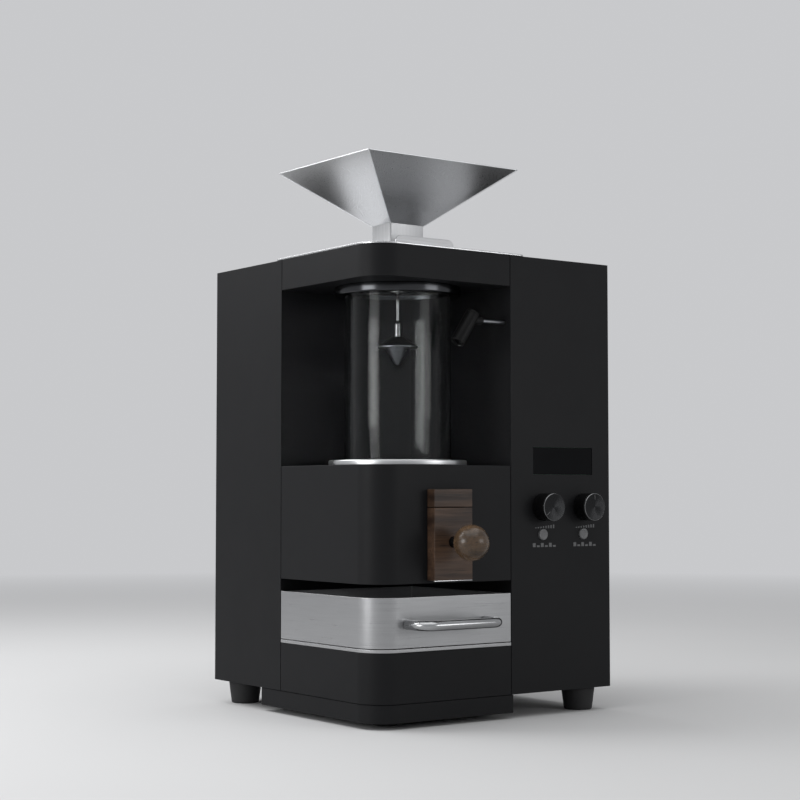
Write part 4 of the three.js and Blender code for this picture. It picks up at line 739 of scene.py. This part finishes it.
def build_hopper(look):
    hopper = Extent("hopper")
    low, high = hopper.low, hopper.high
    x, y = hopper.middle.xy
    rim = ((high.x - low.x) / 2, (high.y - low.y) / 2)
    neck = (17 * MM, 13.5 * MM)
    collar = 4 * MM
    collar_low = low.z + 1.9 * MM
    collar_high = collar_low + look.sheet
    funnel = low.z + 20 * MM
    slope = (rim[0] - neck[0]) / (high.z - funnel)
    sheet, seam, soft = look.sheet, look.neck_seam, 0.3 * MM
    bend, neck_bend, bore_bend, collar_bend = (look.bend * k for k in (1, 0.8, 0.6, 2))

    def level(half, grow, z, radius, notch=0.0):
        return rounded_rectangle(half[0] + grow, half[1] + grow, z, radius, x, y, notch)

    def inside(z, hem=0.0):
        part = (z - funnel) / (high.z - funnel)
        half = [start + part * (end - start) for start, end in zip(neck, rim)]
        return level(half, -sheet - hem, z, bend)

    folded = Shape().loops([
        level(neck, -soft, low.z, bore_bend),
        level(neck, 0, low.z + soft, neck_bend),
        level(neck, 0, collar_low, neck_bend),
        level(neck, collar - soft, collar_low, collar_bend),
        level(neck, collar, collar_low + soft, collar_bend),
        level(neck, collar, collar_high - soft, collar_bend),
        level(neck, collar - soft, collar_high, collar_bend),
        level(neck, soft, collar_high, neck_bend),
        level(neck, 0, collar_high + soft, neck_bend, seam * 0.5),
        level(neck, 0, collar_high + 2 * soft, neck_bend, seam),
        level(neck, 0, funnel - 2 * soft, neck_bend, seam),
        level(neck, soft * 0.4, funnel + soft * 0.2, neck_bend),
        level(neck, slope * soft * 2, funnel + 2 * soft, bend),
        level(rim, -slope * soft * 1.5, high.z - soft * 1.5, bend),
        level(rim, -soft * 0.3, high.z - soft * 0.4, bend),
        level(rim, -soft, high.z, bend),
        level(rim, -sheet * 1.5, high.z, bend),
        level(rim, -sheet * 1.5 - soft, high.z - soft, bend),
        inside(high.z - look.hem, sheet * 0.8),
        inside(high.z - look.hem),
        inside(funnel + 2 * soft),
        level(neck, -sheet, funnel - soft, bore_bend),
        level(neck, -sheet, low.z + soft, bore_bend),
    ], closed=True).finish("steel_hopper", "hopper_steel", "hopper", "hopper", "brushed_steel",
                           smooth=math.radians(30))
    second_finish(folded, "neck_steel", lambda centre: centre.z < funnel)

    # The beads follow the rounded bends, but their paler polished steel is a painted highlight on
    # the folds and the rim.
    bead = look.bead
    foot_x, foot_y = (half - bead * 0.3 for half in neck)
    end_x, end_y = (half - bead * 3 for half in rim)
    rim_x, rim_y = (half - bead for half in rim)
    beads = Shape()
    for side_x, side_y in CORNERS:
        beads.bar([Vector((x + side_x * foot_x, y + side_y * foot_y, funnel)),
                   Vector((x + side_x * end_x, y + side_y * end_y, high.z - bead * 2.2))],
                  bead, WIRE_SIDES)
    rolled = softened([(x + side_x * rim_x, y + side_y * rim_y, bend)
                       for side_x, side_y in CORNERS])
    beads.bar([Vector((*point, high.z - bead)) for point in (*rolled, rolled[0])], bead,
              WIRE_SIDES)
    beads.finish("hopper_beads", "bead_steel", "hopper", slot="brushed_steel")


# Roasting chamber

def build_chamber(look):
    tube = Extent("glass_chamber")
    place = upright(tube)
    outer = tube.radius
    inner = outer - look.glass_wall
    Shape().lathed(washer(inner, outer, tube.low.z, tube.high.z, 0.7 * MM), place, FINE_SIDES,
                   closed=True).finish("glass_tube", "clear_glass", "casing", "glass_chamber")

    gap = 0.3 * MM
    rebate = outer + gap
    bore = inner + gap
    spigot = inner + 3.4 * MM
    small = 0.35 * MM

    upper = Extent("upper_ring")
    low, high = upper.low.z, upper.high.z
    radius = upper.radius + look.ring_lip
    seat = low + 5 * MM
    shoulder = low + 7.7 * MM
    Shape().lathed([
        (rebate, low, small), (radius, low, look.ring_round), (radius, shoulder, small),
        (spigot, shoulder, small), (spigot, high, small), (bore, high, small),
        (bore, seat, small), (rebate, seat, small),
    ], place, FINE_SIDES, closed=True, steps=6).finish(
        "upper_ring_turned", "ring_black", "casing", "upper_ring", "dark_steel")

    lower = Extent("lower_ring")
    low, high, radius = lower.low.z, lower.high.z, lower.radius
    flange = high - 4.3 * MM
    seat = high - 2.5 * MM
    ledge = bore - 2.8 * MM
    ledge_top = low + 1.9 * MM
    Shape().lathed([
        (ledge, low, small), (spigot, low, small), (spigot, flange, small),
        (radius, flange, small), (radius, high, look.base_round), (rebate, high, small),
        (rebate, seat, small), (bore, seat, small), (bore, ledge_top, small),
        (ledge, ledge_top, small),
    ], place, FINE_SIDES, closed=True, steps=6).finish(
        "lower_ring_turned", "ring_steel", "casing", "lower_ring", "polished_steel")

    for node in ("upper_seal", "lower_seal"):
        seal = Extent(node)
        section = washer(inner + 2 * gap, seal.radius, seal.low.z, seal.high.z, small)
        Shape().lathed(section, place, FINE_SIDES, closed=True).finish(
            f"silicone_{node}", "seal_rubber", "casing", node)
    build_distributor()


def build_distributor():
    """The perforated disc under the beans, with the hole that they leave by."""
    disc = Extent("air_distributor")
    x, y = disc.middle.xy
    drop_hole = 15 * MM
    first_ring, ring_pitch, border = 4.4 * MM, 5.1 * MM, 2.4 * MM
    hole, hole_pitch = 1.5 * MM, 5.6 * MM
    holes = [circle(x, y, drop_hole, ROUND_SIDES)]
    for row in range(5):
        ring = drop_hole + first_ring + ring_pitch * row
        if ring + border > disc.radius:
            break
        count = round(FULL_TURN * ring / hole_pitch)
        for i in range(count):
            angle = FULL_TURN * (i + 0.5 * (row % 2)) / count
            holes.append(circle(x + ring * math.cos(angle), y + ring * math.sin(angle), hole,
                                WIRE_SIDES))
    Shape().sheet(circle(x, y, disc.radius, FINE_SIDES), holes, disc.low.z, disc.high.z).finish(
        "perforated_distributor", "plate_steel", "casing", "air_distributor", "brushed_steel")


def build_spreader(look):
    place = upright(Extent("glass_chamber"))
    hung = Extent("spreader_rod")
    x, y = hung.middle.xy
    low, high = hung.low.z, hung.high.z
    rod, collar, hub, strap = 1.3 * MM, 2.8 * MM, 7 * MM, 3 * MM
    collar_low = high - 50.3 * MM
    collar_high = collar_low + 11.2 * MM
    hub_low, hub_high = high - 13 * MM, high - 2.2 * MM
    neck_low, neck_high = collar_high + 1.6 * MM, collar_high + 3.2 * MM
    rod_high = high - 1.8 * MM
    edge = 0.5 * MM
    hanger = Shape()
    hanger.box((x - hung.radius, y - strap, high - 2 * MM), (x + hung.radius, y + strap, high),
               edge)
    hanger.lathed(plug(hub, hub_low, hub_high, edge), place, HEXAGON)
    hanger.lathed([
        (0, low), (rod, low, edge / 2), (rod, collar_low - 0.8 * MM, edge / 2),
        (collar, collar_low, edge), (collar, collar_high, edge), (rod * 1.5, neck_low, edge),
        (rod, neck_high, edge), (rod, rod_high), (0, rod_high),
    ], place, SMALL_SIDES)
    hanger.finish("hanging_rod", "rod_steel", "casing", "spreader_rod", "polished_steel")

    spreader = Extent("bean_spreader")
    low, high, radius = spreader.low.z, spreader.high.z, spreader.radius
    brim_low = low + 13.8 * MM
    brim = brim_low + look.brim
    bore = rod + 0.3 * MM
    bottom = brim_low - 4 * MM
    tip, crown = 1.9 * MM, 5 * MM
    dome, dome_high = 8.6 * MM, brim + 5.6 * MM
    small = 0.3 * MM
    cone = Shape().lathed([
        (0, low), (tip, low, 0.8 * MM), (look.cone_radius, brim_low, 0.4 * MM),
        (radius, brim_low, small), (radius, brim, small), (dome, dome_high, 2.5 * MM),
        (crown, high, 1.5 * MM), (bore, high), (bore, bottom), (0, bottom),
    ], place, FINE_SIDES).finish("spreader_cone", "satin_steel", "casing", "bean_spreader",
                                 "dark_steel")
    # Painted shade: the dome above the brim takes the near-black lamp finish, darker than the
    # steel cone below it.
    second_finish(cone, "lamp_black", lambda centre: centre.z > brim + small)


def build_lamp():
    bar = Extent("lamp_rod")
    place = along_x(bar)
    low, high = bar.low.x, bar.high.x
    rod, nut, edge = 1.5 * MM, 3.9 * MM, 0.3 * MM
    nut_low, nut_high = high - 2.5 * MM, high - 0.1 * MM
    stem = Shape()
    stem.lathed(plug(rod, low, high, edge), place, SMALL_SIDES)
    stem.lathed([(rod, nut_low), (nut, nut_low, edge), (nut, nut_high, edge), (rod, nut_high)],
                place, HEXAGON)
    stem.finish("lamp_stem", "satin_steel", "casing", "lamp_rod", "polished_steel",
                smooth=math.radians(25))

    pivot = high - 41.3 * MM
    axis = (Matrix.Translation((pivot, bar.middle.y, bar.middle.z))
            @ Matrix.Rotation(math.radians(33.6), 4, "Y"))
    radius, lens, groove = 6 * MM, 5 * MM, 0.35 * MM
    top, bottom = 7.8 * MM, -23 * MM
    pocket = bottom + 1.8 * MM
    joint = top - 2.4 * MM
    Shape().lathed([
        (0, pocket), (lens, pocket), (lens, bottom, edge), (radius, bottom, edge * 2),
        (radius, joint - groove, edge / 2), (radius - groove, joint),
        (radius, joint + groove, edge / 2), (radius, top, 1.1 * MM), (0, top),
    ], axis).finish("lamp_barrel", "lamp_black", "lamp", "lamp_head", "black_plastic")

    knuckle, socket = 3.4 * MM, 1.8 * MM
    start, floor, end = (pivot + reach * MM for reach in (2, 8, 13.3))
    Shape().lathed([
        (0, start), (knuckle, start), (knuckle, end, 0.8 * MM), (socket, end), (socket, floor),
        (0, floor),
    ], place, SMALL_SIDES).finish("lamp_knuckle", "lamp_black", "lamp", slot="black_plastic")

    front = bottom + 0.3 * MM
    Shape().lathed(plug(4.7 * MM, front, front + 1.2 * MM, edge), axis, SMALL_SIDES).finish(
        "lamp_glass", "clear_glass", "lamp", "lamp_lens")


# Discharge gate with its wooden pull

def build_pull(look):
    for node, coat, body in (("wood_block_upper", "walnut_cap", "casing"),
                             ("wood_block_lower", "walnut", "discharge")):
        softened_node(node, node.replace("wood", "walnut"), coat, look.chamfer, body, "walnut",
                      steps=3)
    block = Extent("wood_block_lower")
    low, high = block.low, block.high
    sole = 0.5 * MM
    Shape().box((low.x, low.y + 0.3 * MM, low.z - sole), (high.x, high.y, low.z + sole / 4),
                0.15 * MM).finish("block_sole", "polished_steel", "discharge",
                                  slot="brushed_steel")

    ball = Extent("ball_knob")
    place = facing_front(ball)
    radius = ball.radius
    centre_y = ball.low.y + radius
    bore = bore_depth = 4.3 * MM
    back = math.asin(look.ball_flat / radius)
    arcs = 40
    points = []
    for k in range(arcs + 1):
        angle = back + (math.pi - back) * k / arcs
        points.append((radius * math.sin(angle), -centre_y - radius * math.cos(angle)))
    flat = points[0][1]
    depth = flat + bore_depth
    Shape().turned([(0, depth), (bore, depth), (bore, flat), *points], place, FINE_SIDES).finish(
        "walnut_ball", "walnut_ball", "discharge", "ball_knob", "walnut")

    # Painted shade: the stud takes the black knob finish, standing in for the shadow between the
    # ball and the block.
    stud, edge = Extent("knob_stud"), 0.3 * MM
    Shape().lathed(plug(stud.radius, -stud.high.y, -stud.low.y, edge), place,
                   SMALL_SIDES).finish(
        "steel_stud", "knob_body", "discharge", "knob_stud", "polished_steel")
    softened_node("discharge_gate", "steel_discharge_gate", "plate_steel", edge, "discharge",
                  "brushed_steel")


# Cooling drawer

def build_drawer(look):
    softened_node("cooling_drawer", "steel_drawer", "brushed_steel", look.edge, "drawer",
                  steps=3)
    softened_node("drawer_shelf", "steel_shelf", "gate_steel", look.edge, slot="brushed_steel")

    screen = Extent("drawer_screen")
    low, high = screen.low, screen.high
    corner, border, solid_rim = 23.2 * MM, 12 * MM, 5 * MM
    outline = softened([(low.x, low.y, corner), (high.x, low.y), (high.x, high.y),
                        (low.x, high.y)], steps=16)
    pitch = look.hole_pitch
    row_pitch = pitch * math.sqrt(3) / 2
    columns = int((high.x - low.x - 2 * border) / pitch)
    rows = int((high.y - low.y - 2 * border) / row_pitch)
    start_x = (low.x + high.x - columns * pitch) / 2
    start_y = (low.y + high.y - rows * row_pitch) / 2
    holes = []
    for row in range(rows + 1):
        for column in range(columns + 1 - row % 2):
            x = start_x + (column + 0.5 * (row % 2)) * pitch
            y = start_y + row * row_pitch
            near = Vector((x - low.x - corner, y - low.y - corner))
            if near.x < 0 and near.y < 0 and near.length > corner - solid_rim:
                continue
            holes.append(circle(x, y, look.hole_radius, 10))
    Shape().sheet(outline, holes, low.z, high.z).finish(
        "perforated_screen", "plate_steel", "drawer", "drawer_screen", "brushed_steel")

    handle = Extent("drawer_handle")
    bar, back, z = look.bar_radius, handle.high.y, handle.middle.z
    left, right, front = handle.low.x + bar, handle.high.x - bar, handle.low.y + bar
    bent = softened([(left, back), (left, front, look.bend), (right, front, look.bend),
                     (right, back)], closed=False, steps=14)
    Shape().bar([Vector((x, y, z)) for x, y in bent], bar).finish(
        "bar_handle", "handle_steel", "drawer", "drawer_handle", "polished_steel")


# Control panel

def build_panel(look):
    softened_node("display_pane", "display_glass", "gloss_black", 0.35 * MM, steps=3)
    build_knob(look, "heat_knob", look.heat_line)
    build_knob(look, "fan_knob", 0.0)
    for node in ("light_button", "cool_button"):
        button = Extent(node)
        front, back, flange = -button.low.y, -button.high.y, button.radius
        radius, edge, dish = 4.7 * MM, 0.3 * MM, 0.25 * MM
        flange_high = back + 3 * MM
        flange_low = flange_high - 1.2 * MM
        Shape().lathed([
            (0, back), (radius, back, edge), (radius, flange_low), (flange, flange_low, edge),
            (flange, flange_high, edge), (radius, flange_high), (radius, front, 0.7 * MM),
            (radius * 0.72, front, 0.5 * MM), (radius * 0.5, front - dish, 0.5 * MM),
            (0, front - dish),
        ], facing_front(button)).finish(f"round_{node}", "grey_plastic", node, node)
    build_marks(look)


def build_knob(look, node, angle):
    """A ribbed grip with a dished metal cap and its line; node and body share a name."""
    knob = Extent(node)
    x, z = knob.middle.x, knob.middle.z
    place = facing_front(knob)
    radius, back, front = knob.radius, -knob.high.y, -knob.low.y
    base = 1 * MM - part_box("main_casing")[0].y
    cap_low = front - 1.6 * MM
    shaft, edge, dish = 3 * MM, look.cap_edge, 0.12 * MM
    neck = cap_low - 1.2 * MM
    fillet = 0.2 * MM

    def ribbed(reach, i):
        """Fine ribs on the widest rings alone."""
        return reach * (1 - 0.012 * (i % 2)) if reach >= radius - 0.05 * MM else reach

    foot = softened([(0, back), (shaft, back, 0.3 * MM), (shaft, base),
                     (radius * 0.86, base, fillet),
                     (radius - 0.15 * MM, base + 0.5 * MM, fillet)], closed=False)
    crown = softened([(radius, neck), (radius - 0.12 * MM, cap_low - 0.3 * MM, 0.1 * MM),
                      (radius - 0.5 * MM, cap_low, 0.1 * MM), (0, cap_low)], closed=False)
    Shape().turned([*foot, (radius, base + 0.8 * MM), (radius, neck), *crown[1:]], place,
                   look.ribs * 2, ripple=ribbed).finish(
        f"{node}_grip", "knob_body", node, node, "dark_steel", smooth=math.radians(30))

    rim = radius - 0.05 * MM
    seat = cap_low + 0.02 * MM
    face = radius - edge
    disc = Shape().lathed([
        (0, seat), (radius - 0.5 * MM, seat), (rim, cap_low + 0.3 * MM, 0.1 * MM),
        (rim, front - edge, 0.15 * MM), (face, front, fillet), (face - 0.5 * MM, front - dish),
        (0, front - dish * 1.6),
    ], place, FINE_SIDES).finish(f"{node}_cap", "spun_cap", node, slot="dark_steel",
                                 smooth=math.radians(20))
    second_finish(disc, "cap_edge",
                  lambda centre: math.hypot(centre.x - x, centre.z - z) > face)

    half = 0.25 * MM
    line = Shape().box((-half, radius * 0.55, front - dish * 1.7),
                       (half, face - 0.7 * MM, front - dish * 0.4), 0.1 * MM)
    turn = place @ Matrix.Rotation(-angle, 4, "Z")
    bmesh.ops.transform(line.bm, matrix=turn, verts=line.bm.verts)
    line.finish(f"{node}_line", "cap_line", node, slot="grey_plastic")


def build_marks(look):
    """Plain printed signs: a rising wedge under each knob and bars under each button."""
    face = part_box("main_casing")[0].y

    def row(name, node, drop, start, pitch, width, heights):
        """Marks beside each other, drop below the middle of a node; all in millimetres."""
        middle = Extent(node).middle
        bottom = middle.z - drop * MM
        marks = Shape()
        for step, height in enumerate(heights):
            left = middle.x + (step * pitch + start) * MM
            marks.box((left, face - look.print_height, bottom),
                      (left + width * MM, face, bottom + height * MM))
        marks.finish(name, "print_grey", "casing", slot="grey_plastic")

    for number, (knob, button) in enumerate((("heat_knob", "light_button"),
                                             ("fan_knob", "cool_button")), 1):
        row(f"printed_steps_{number}", knob, 17.8, -8.2, 2.8, 1.5,
            [0.8 + 0.32 * step for step in range(8)])
        row(f"printed_bars_{number}", button, 10.6, -10.9, 4.45, 3.1, [3.4, 1.5] * 3)


# Rear fittings

def build_rear():
    for node in ("power_inlet", "switch_housing"):
        softened_node(node, f"moulded_{node}", "black_plastic", 0.5 * MM)
    softened_node("power_rocker", "moulded_rocker", "black_plastic", 0.4 * MM, "power_rocker",
                  steps=3)


# Parts inside: the frame's own solids with their finishes

INSIDE = {
    "galvanised": ("air_box", "blower_impeller", "blower_motor", "blower_duct",
                   "heater_housing", "air_elbow", "exhaust_duct"),
    "brushed_steel": ("discharge_chute",),
    "black_plastic": ("cooling_fan_frame", "cooling_fan_rotor", "blower_housing"),
    "circuit": ("display_module", "control_board", "power_board"),
    "mica": ("heater_core",),
    "heater_wire": ("heater_coil",),
}


def build_inside():
    for coat, nodes in INSIDE.items():
        for node in nodes:
            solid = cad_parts[node]
            if not solid.material_slots:
                solid.data.materials.append(FINISHES[coat])
            for slot in solid.material_slots:
                slot.material = FINISHES[coat]


# Studio

def place_in_scene(name, data, location=(0, 0, 0), turn=(0, 0, 0)):
    made = bpy.data.objects.new(name, data)
    made.location = location
    made.rotation_euler = turn
    bpy.context.scene.collection.objects.link(made)
    return made


def area_light(name, place, width, height, power):
    """A rectangular light that looks at the middle of the roaster."""
    aim = Vector((-0.04, -0.04, 0.24))
    light = bpy.data.lights.new(name, "AREA")
    light.shape = "RECTANGLE"
    light.size, light.size_y = width, height
    light.energy = power
    place_in_scene(name, light, place,
                   (aim - Vector(place)).to_track_quat("-Z", "Y").to_euler())


def build_camera():
    data = bpy.data.cameras.new("camera")
    data.lens = 77.64
    data.sensor_width = 36
    bpy.context.scene.camera = place_in_scene(
        "camera", data, (-0.902218, -1.2109, 0.18666),
        (math.radians(93.07), 0, math.radians(-36.01)))


def build_world(look):
    world = bpy.data.worlds.new("studio")
    world.use_nodes = True
    bpy.context.scene.world = world
    sky = Nodes(world.node_tree)
    sky.tree.nodes.clear()
    shown = sky.glow("ShaderNodeBackground", look.backdrop)
    light = sky.glow("ShaderNodeBackground", (1, 1, 1), look.daylight)
    sky.link(sky.choice(sky.seen_directly(), light, shown),
             sky.node("ShaderNodeOutputWorld").inputs["Surface"])


def build_floor(look):
    """A floor that fades into the backdrop as it gets further away."""
    ground = Finish("floor", look.floor, 0.0, 0.8, Specular_IOR_Level=0.2)
    clouds = ground.ranged(ground.pattern(3, detail=2), 0, 1)
    ground.coloured(ground.blend(clouds, shade(look.floor, 0.985), look.floor))
    away = ground.node("ShaderNodeVectorMath", operation="LENGTH")
    ground.link(ground.place, away.inputs[0])
    far = ground.ranged(away.outputs["Value"], 0, 1, 0.7, 2.6)
    faded = ground.choice(ground.maths("MULTIPLY", far, ground.seen_directly()),
                          ground.shader.outputs[0],
                          ground.glow("ShaderNodeEmission", look.backdrop))
    ground.link(faded, ground.tree.nodes["Material Output"].inputs["Surface"])

    radius = 6
    disc = Shape().turned([(0, 0), (radius, 0)], Matrix.Identity(4))
    mesh = bpy.data.meshes.new("floor")
    disc.bm.to_mesh(mesh)
    disc.bm.free()
    mesh.materials.append(ground.material)
    place_in_scene("floor", mesh)


def build_stage(look):
    bpy.context.scene.view_settings.view_transform = "Standard"
    build_camera()
    build_world(look)
    build_floor(look)
    for name, place, width, height in (("key", (-1.251, -0.047, 0.37), 0.5, 0.42),
                                       ("rim", (-0.83, 0.74, 1.05), 0.8, 0.7),
                                       ("side", (0.494, -1.105, 0.36), 0.5, 0.32),
                                       ("top", (-0.2, -0.3, 1.9), 2.4, 2.4),
                                       ("back", (-0.08, 1.1, 1.25), 0.9, 0.6)):
        area_light(f"{name}_light", place, width, height, getattr(look, name))


# The add-on's own parts

class BuildingStep:
    """What all steps share: each can be undone from the sidebar."""
    bl_options = {"REGISTER", "UNDO"}


class ROASTER_OT_stage(BuildingStep, Operator):
    """Makes the camera, the floor, the backdrop and the lights"""
    bl_idname = "roaster.stage"
    bl_label = "Stage"

    def execute(self, context):
        build_stage(context.scene.roaster_stage)
        return {"FINISHED"}


class ROASTER_OT_finishes(BuildingStep, Operator):
    """Makes every finish and covers the parts inside with theirs"""
    bl_idname = "roaster.finishes"
    bl_label = "Finishes and parts inside"

    def execute(self, context):
        make_finishes(context.scene.roaster_finish)
        build_inside()
        return {"FINISHED"}


class ROASTER_OT_casing(BuildingStep, Operator):
    """Builds the casing, the corner module, the rear cover and its screws"""
    bl_idname = "roaster.casing"
    bl_label = "Casing"

    def execute(self, context):
        build_casing(context.scene.roaster_casing)
        return {"FINISHED"}


class ROASTER_OT_feet(BuildingStep, Operator):
    """Builds the rubber feet and the pad under the module"""
    bl_idname = "roaster.feet"
    bl_label = "Feet"

    def execute(self, context):
        build_feet(context.scene.roaster_casing)
        return {"FINISHED"}


class ROASTER_OT_top_steel(BuildingStep, Operator):
    """Builds the top plate, the gate's track and the slide gate"""
    bl_idname = "roaster.top_steel"
    bl_label = "Top plate and gate"

    def execute(self, context):
        build_top_steel()
        return {"FINISHED"}


class ROASTER_OT_hopper(BuildingStep, Operator):
    """Builds the folded hopper with its hem, neck and collar"""
    bl_idname = "roaster.hopper"
    bl_label = "Hopper"

    def execute(self, context):
        build_hopper(context.scene.roaster_hopper)
        return {"FINISHED"}


class ROASTER_OT_chamber(BuildingStep, Operator):
    """Builds the glass tube, its rings and seals and the perforated disc"""
    bl_idname = "roaster.chamber"
    bl_label = "Roasting chamber"

    def execute(self, context):
        build_chamber(context.scene.roaster_chamber)
        return {"FINISHED"}


class ROASTER_OT_spreader(BuildingStep, Operator):
    """Builds the hanging rod and the bean spreader"""
    bl_idname = "roaster.spreader"
    bl_label = "Bean spreader"

    def execute(self, context):
        build_spreader(context.scene.roaster_chamber)
        return {"FINISHED"}


class ROASTER_OT_lamp(BuildingStep, Operator):
    """Builds the chamber lamp with its stem and glass"""
    bl_idname = "roaster.lamp"
    bl_label = "Lamp"

    def execute(self, context):
        build_lamp()
        return {"FINISHED"}


class ROASTER_OT_pull(BuildingStep, Operator):
    """Builds the wooden blocks, the ball and the discharge gate"""
    bl_idname = "roaster.pull"
    bl_label = "Wooden pull"

    def execute(self, context):
        build_pull(context.scene.roaster_pull)
        return {"FINISHED"}


class ROASTER_OT_drawer(BuildingStep, Operator):
    """Builds the cooling drawer, its screen, its handle and its shelf"""
    bl_idname = "roaster.drawer"
    bl_label = "Cooling drawer"

    def execute(self, context):
        build_drawer(context.scene.roaster_drawer)
        return {"FINISHED"}


class ROASTER_OT_panel(BuildingStep, Operator):
    """Builds the display, the knobs, the buttons and the printed marks"""
    bl_idname = "roaster.panel"
    bl_label = "Control panel"

    def execute(self, context):
        build_panel(context.scene.roaster_panel)
        return {"FINISHED"}


class ROASTER_OT_rear(BuildingStep, Operator):
    """Builds the mains inlet and the rocker switch"""
    bl_idname = "roaster.rear"
    bl_label = "Rear fittings"

    def execute(self, context):
        build_rear()
        return {"FINISHED"}


OPERATORS = (ROASTER_OT_stage, ROASTER_OT_finishes, ROASTER_OT_casing, ROASTER_OT_feet,
             ROASTER_OT_top_steel, ROASTER_OT_hopper, ROASTER_OT_chamber, ROASTER_OT_spreader,
             ROASTER_OT_lamp, ROASTER_OT_pull, ROASTER_OT_drawer, ROASTER_OT_panel,
             ROASTER_OT_rear)
SETTINGS = {
    "roaster_finish": FinishSettings,
    "roaster_casing": CasingSettings,
    "roaster_hopper": HopperSettings,
    "roaster_chamber": ChamberSettings,
    "roaster_pull": PullSettings,
    "roaster_drawer": DrawerSettings,
    "roaster_panel": PanelSettings,
    "roaster_stage": StageSettings,
}


class ROASTER_PT_sidebar(Panel):
    """Lists the roaster's settings and the steps that build it"""
    bl_idname = "ROASTER_PT_sidebar"
    bl_label = "Coffee Bean Roaster"
    bl_space_type = "VIEW_3D"
    bl_region_type = "UI"
    bl_category = "Roaster"

    def draw(self, context):
        for operator in OPERATORS:
            self.layout.operator(operator.bl_idname)
        for name, group in SETTINGS.items():
            settings = getattr(context.scene, name)
            for prop in group.__annotations__:
                self.layout.prop(settings, prop)


def register():
    for kind in (*SETTINGS.values(), *OPERATORS, ROASTER_PT_sidebar):
        bpy.utils.register_class(kind)
    for name, group in SETTINGS.items():
        setattr(bpy.types.Scene, name, PointerProperty(type=group))


def unregister():
    for name in SETTINGS:
        delattr(bpy.types.Scene, name)
    for kind in (ROASTER_PT_sidebar, *reversed(OPERATORS), *SETTINGS.values()):
        bpy.utils.unregister_class(kind)


def main():
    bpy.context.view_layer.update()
    register()
    for operator in OPERATORS:
        area, name = operator.bl_idname.split(".")
        getattr(getattr(bpy.ops, area), name)()


if __name__ == "__main__":
    main()
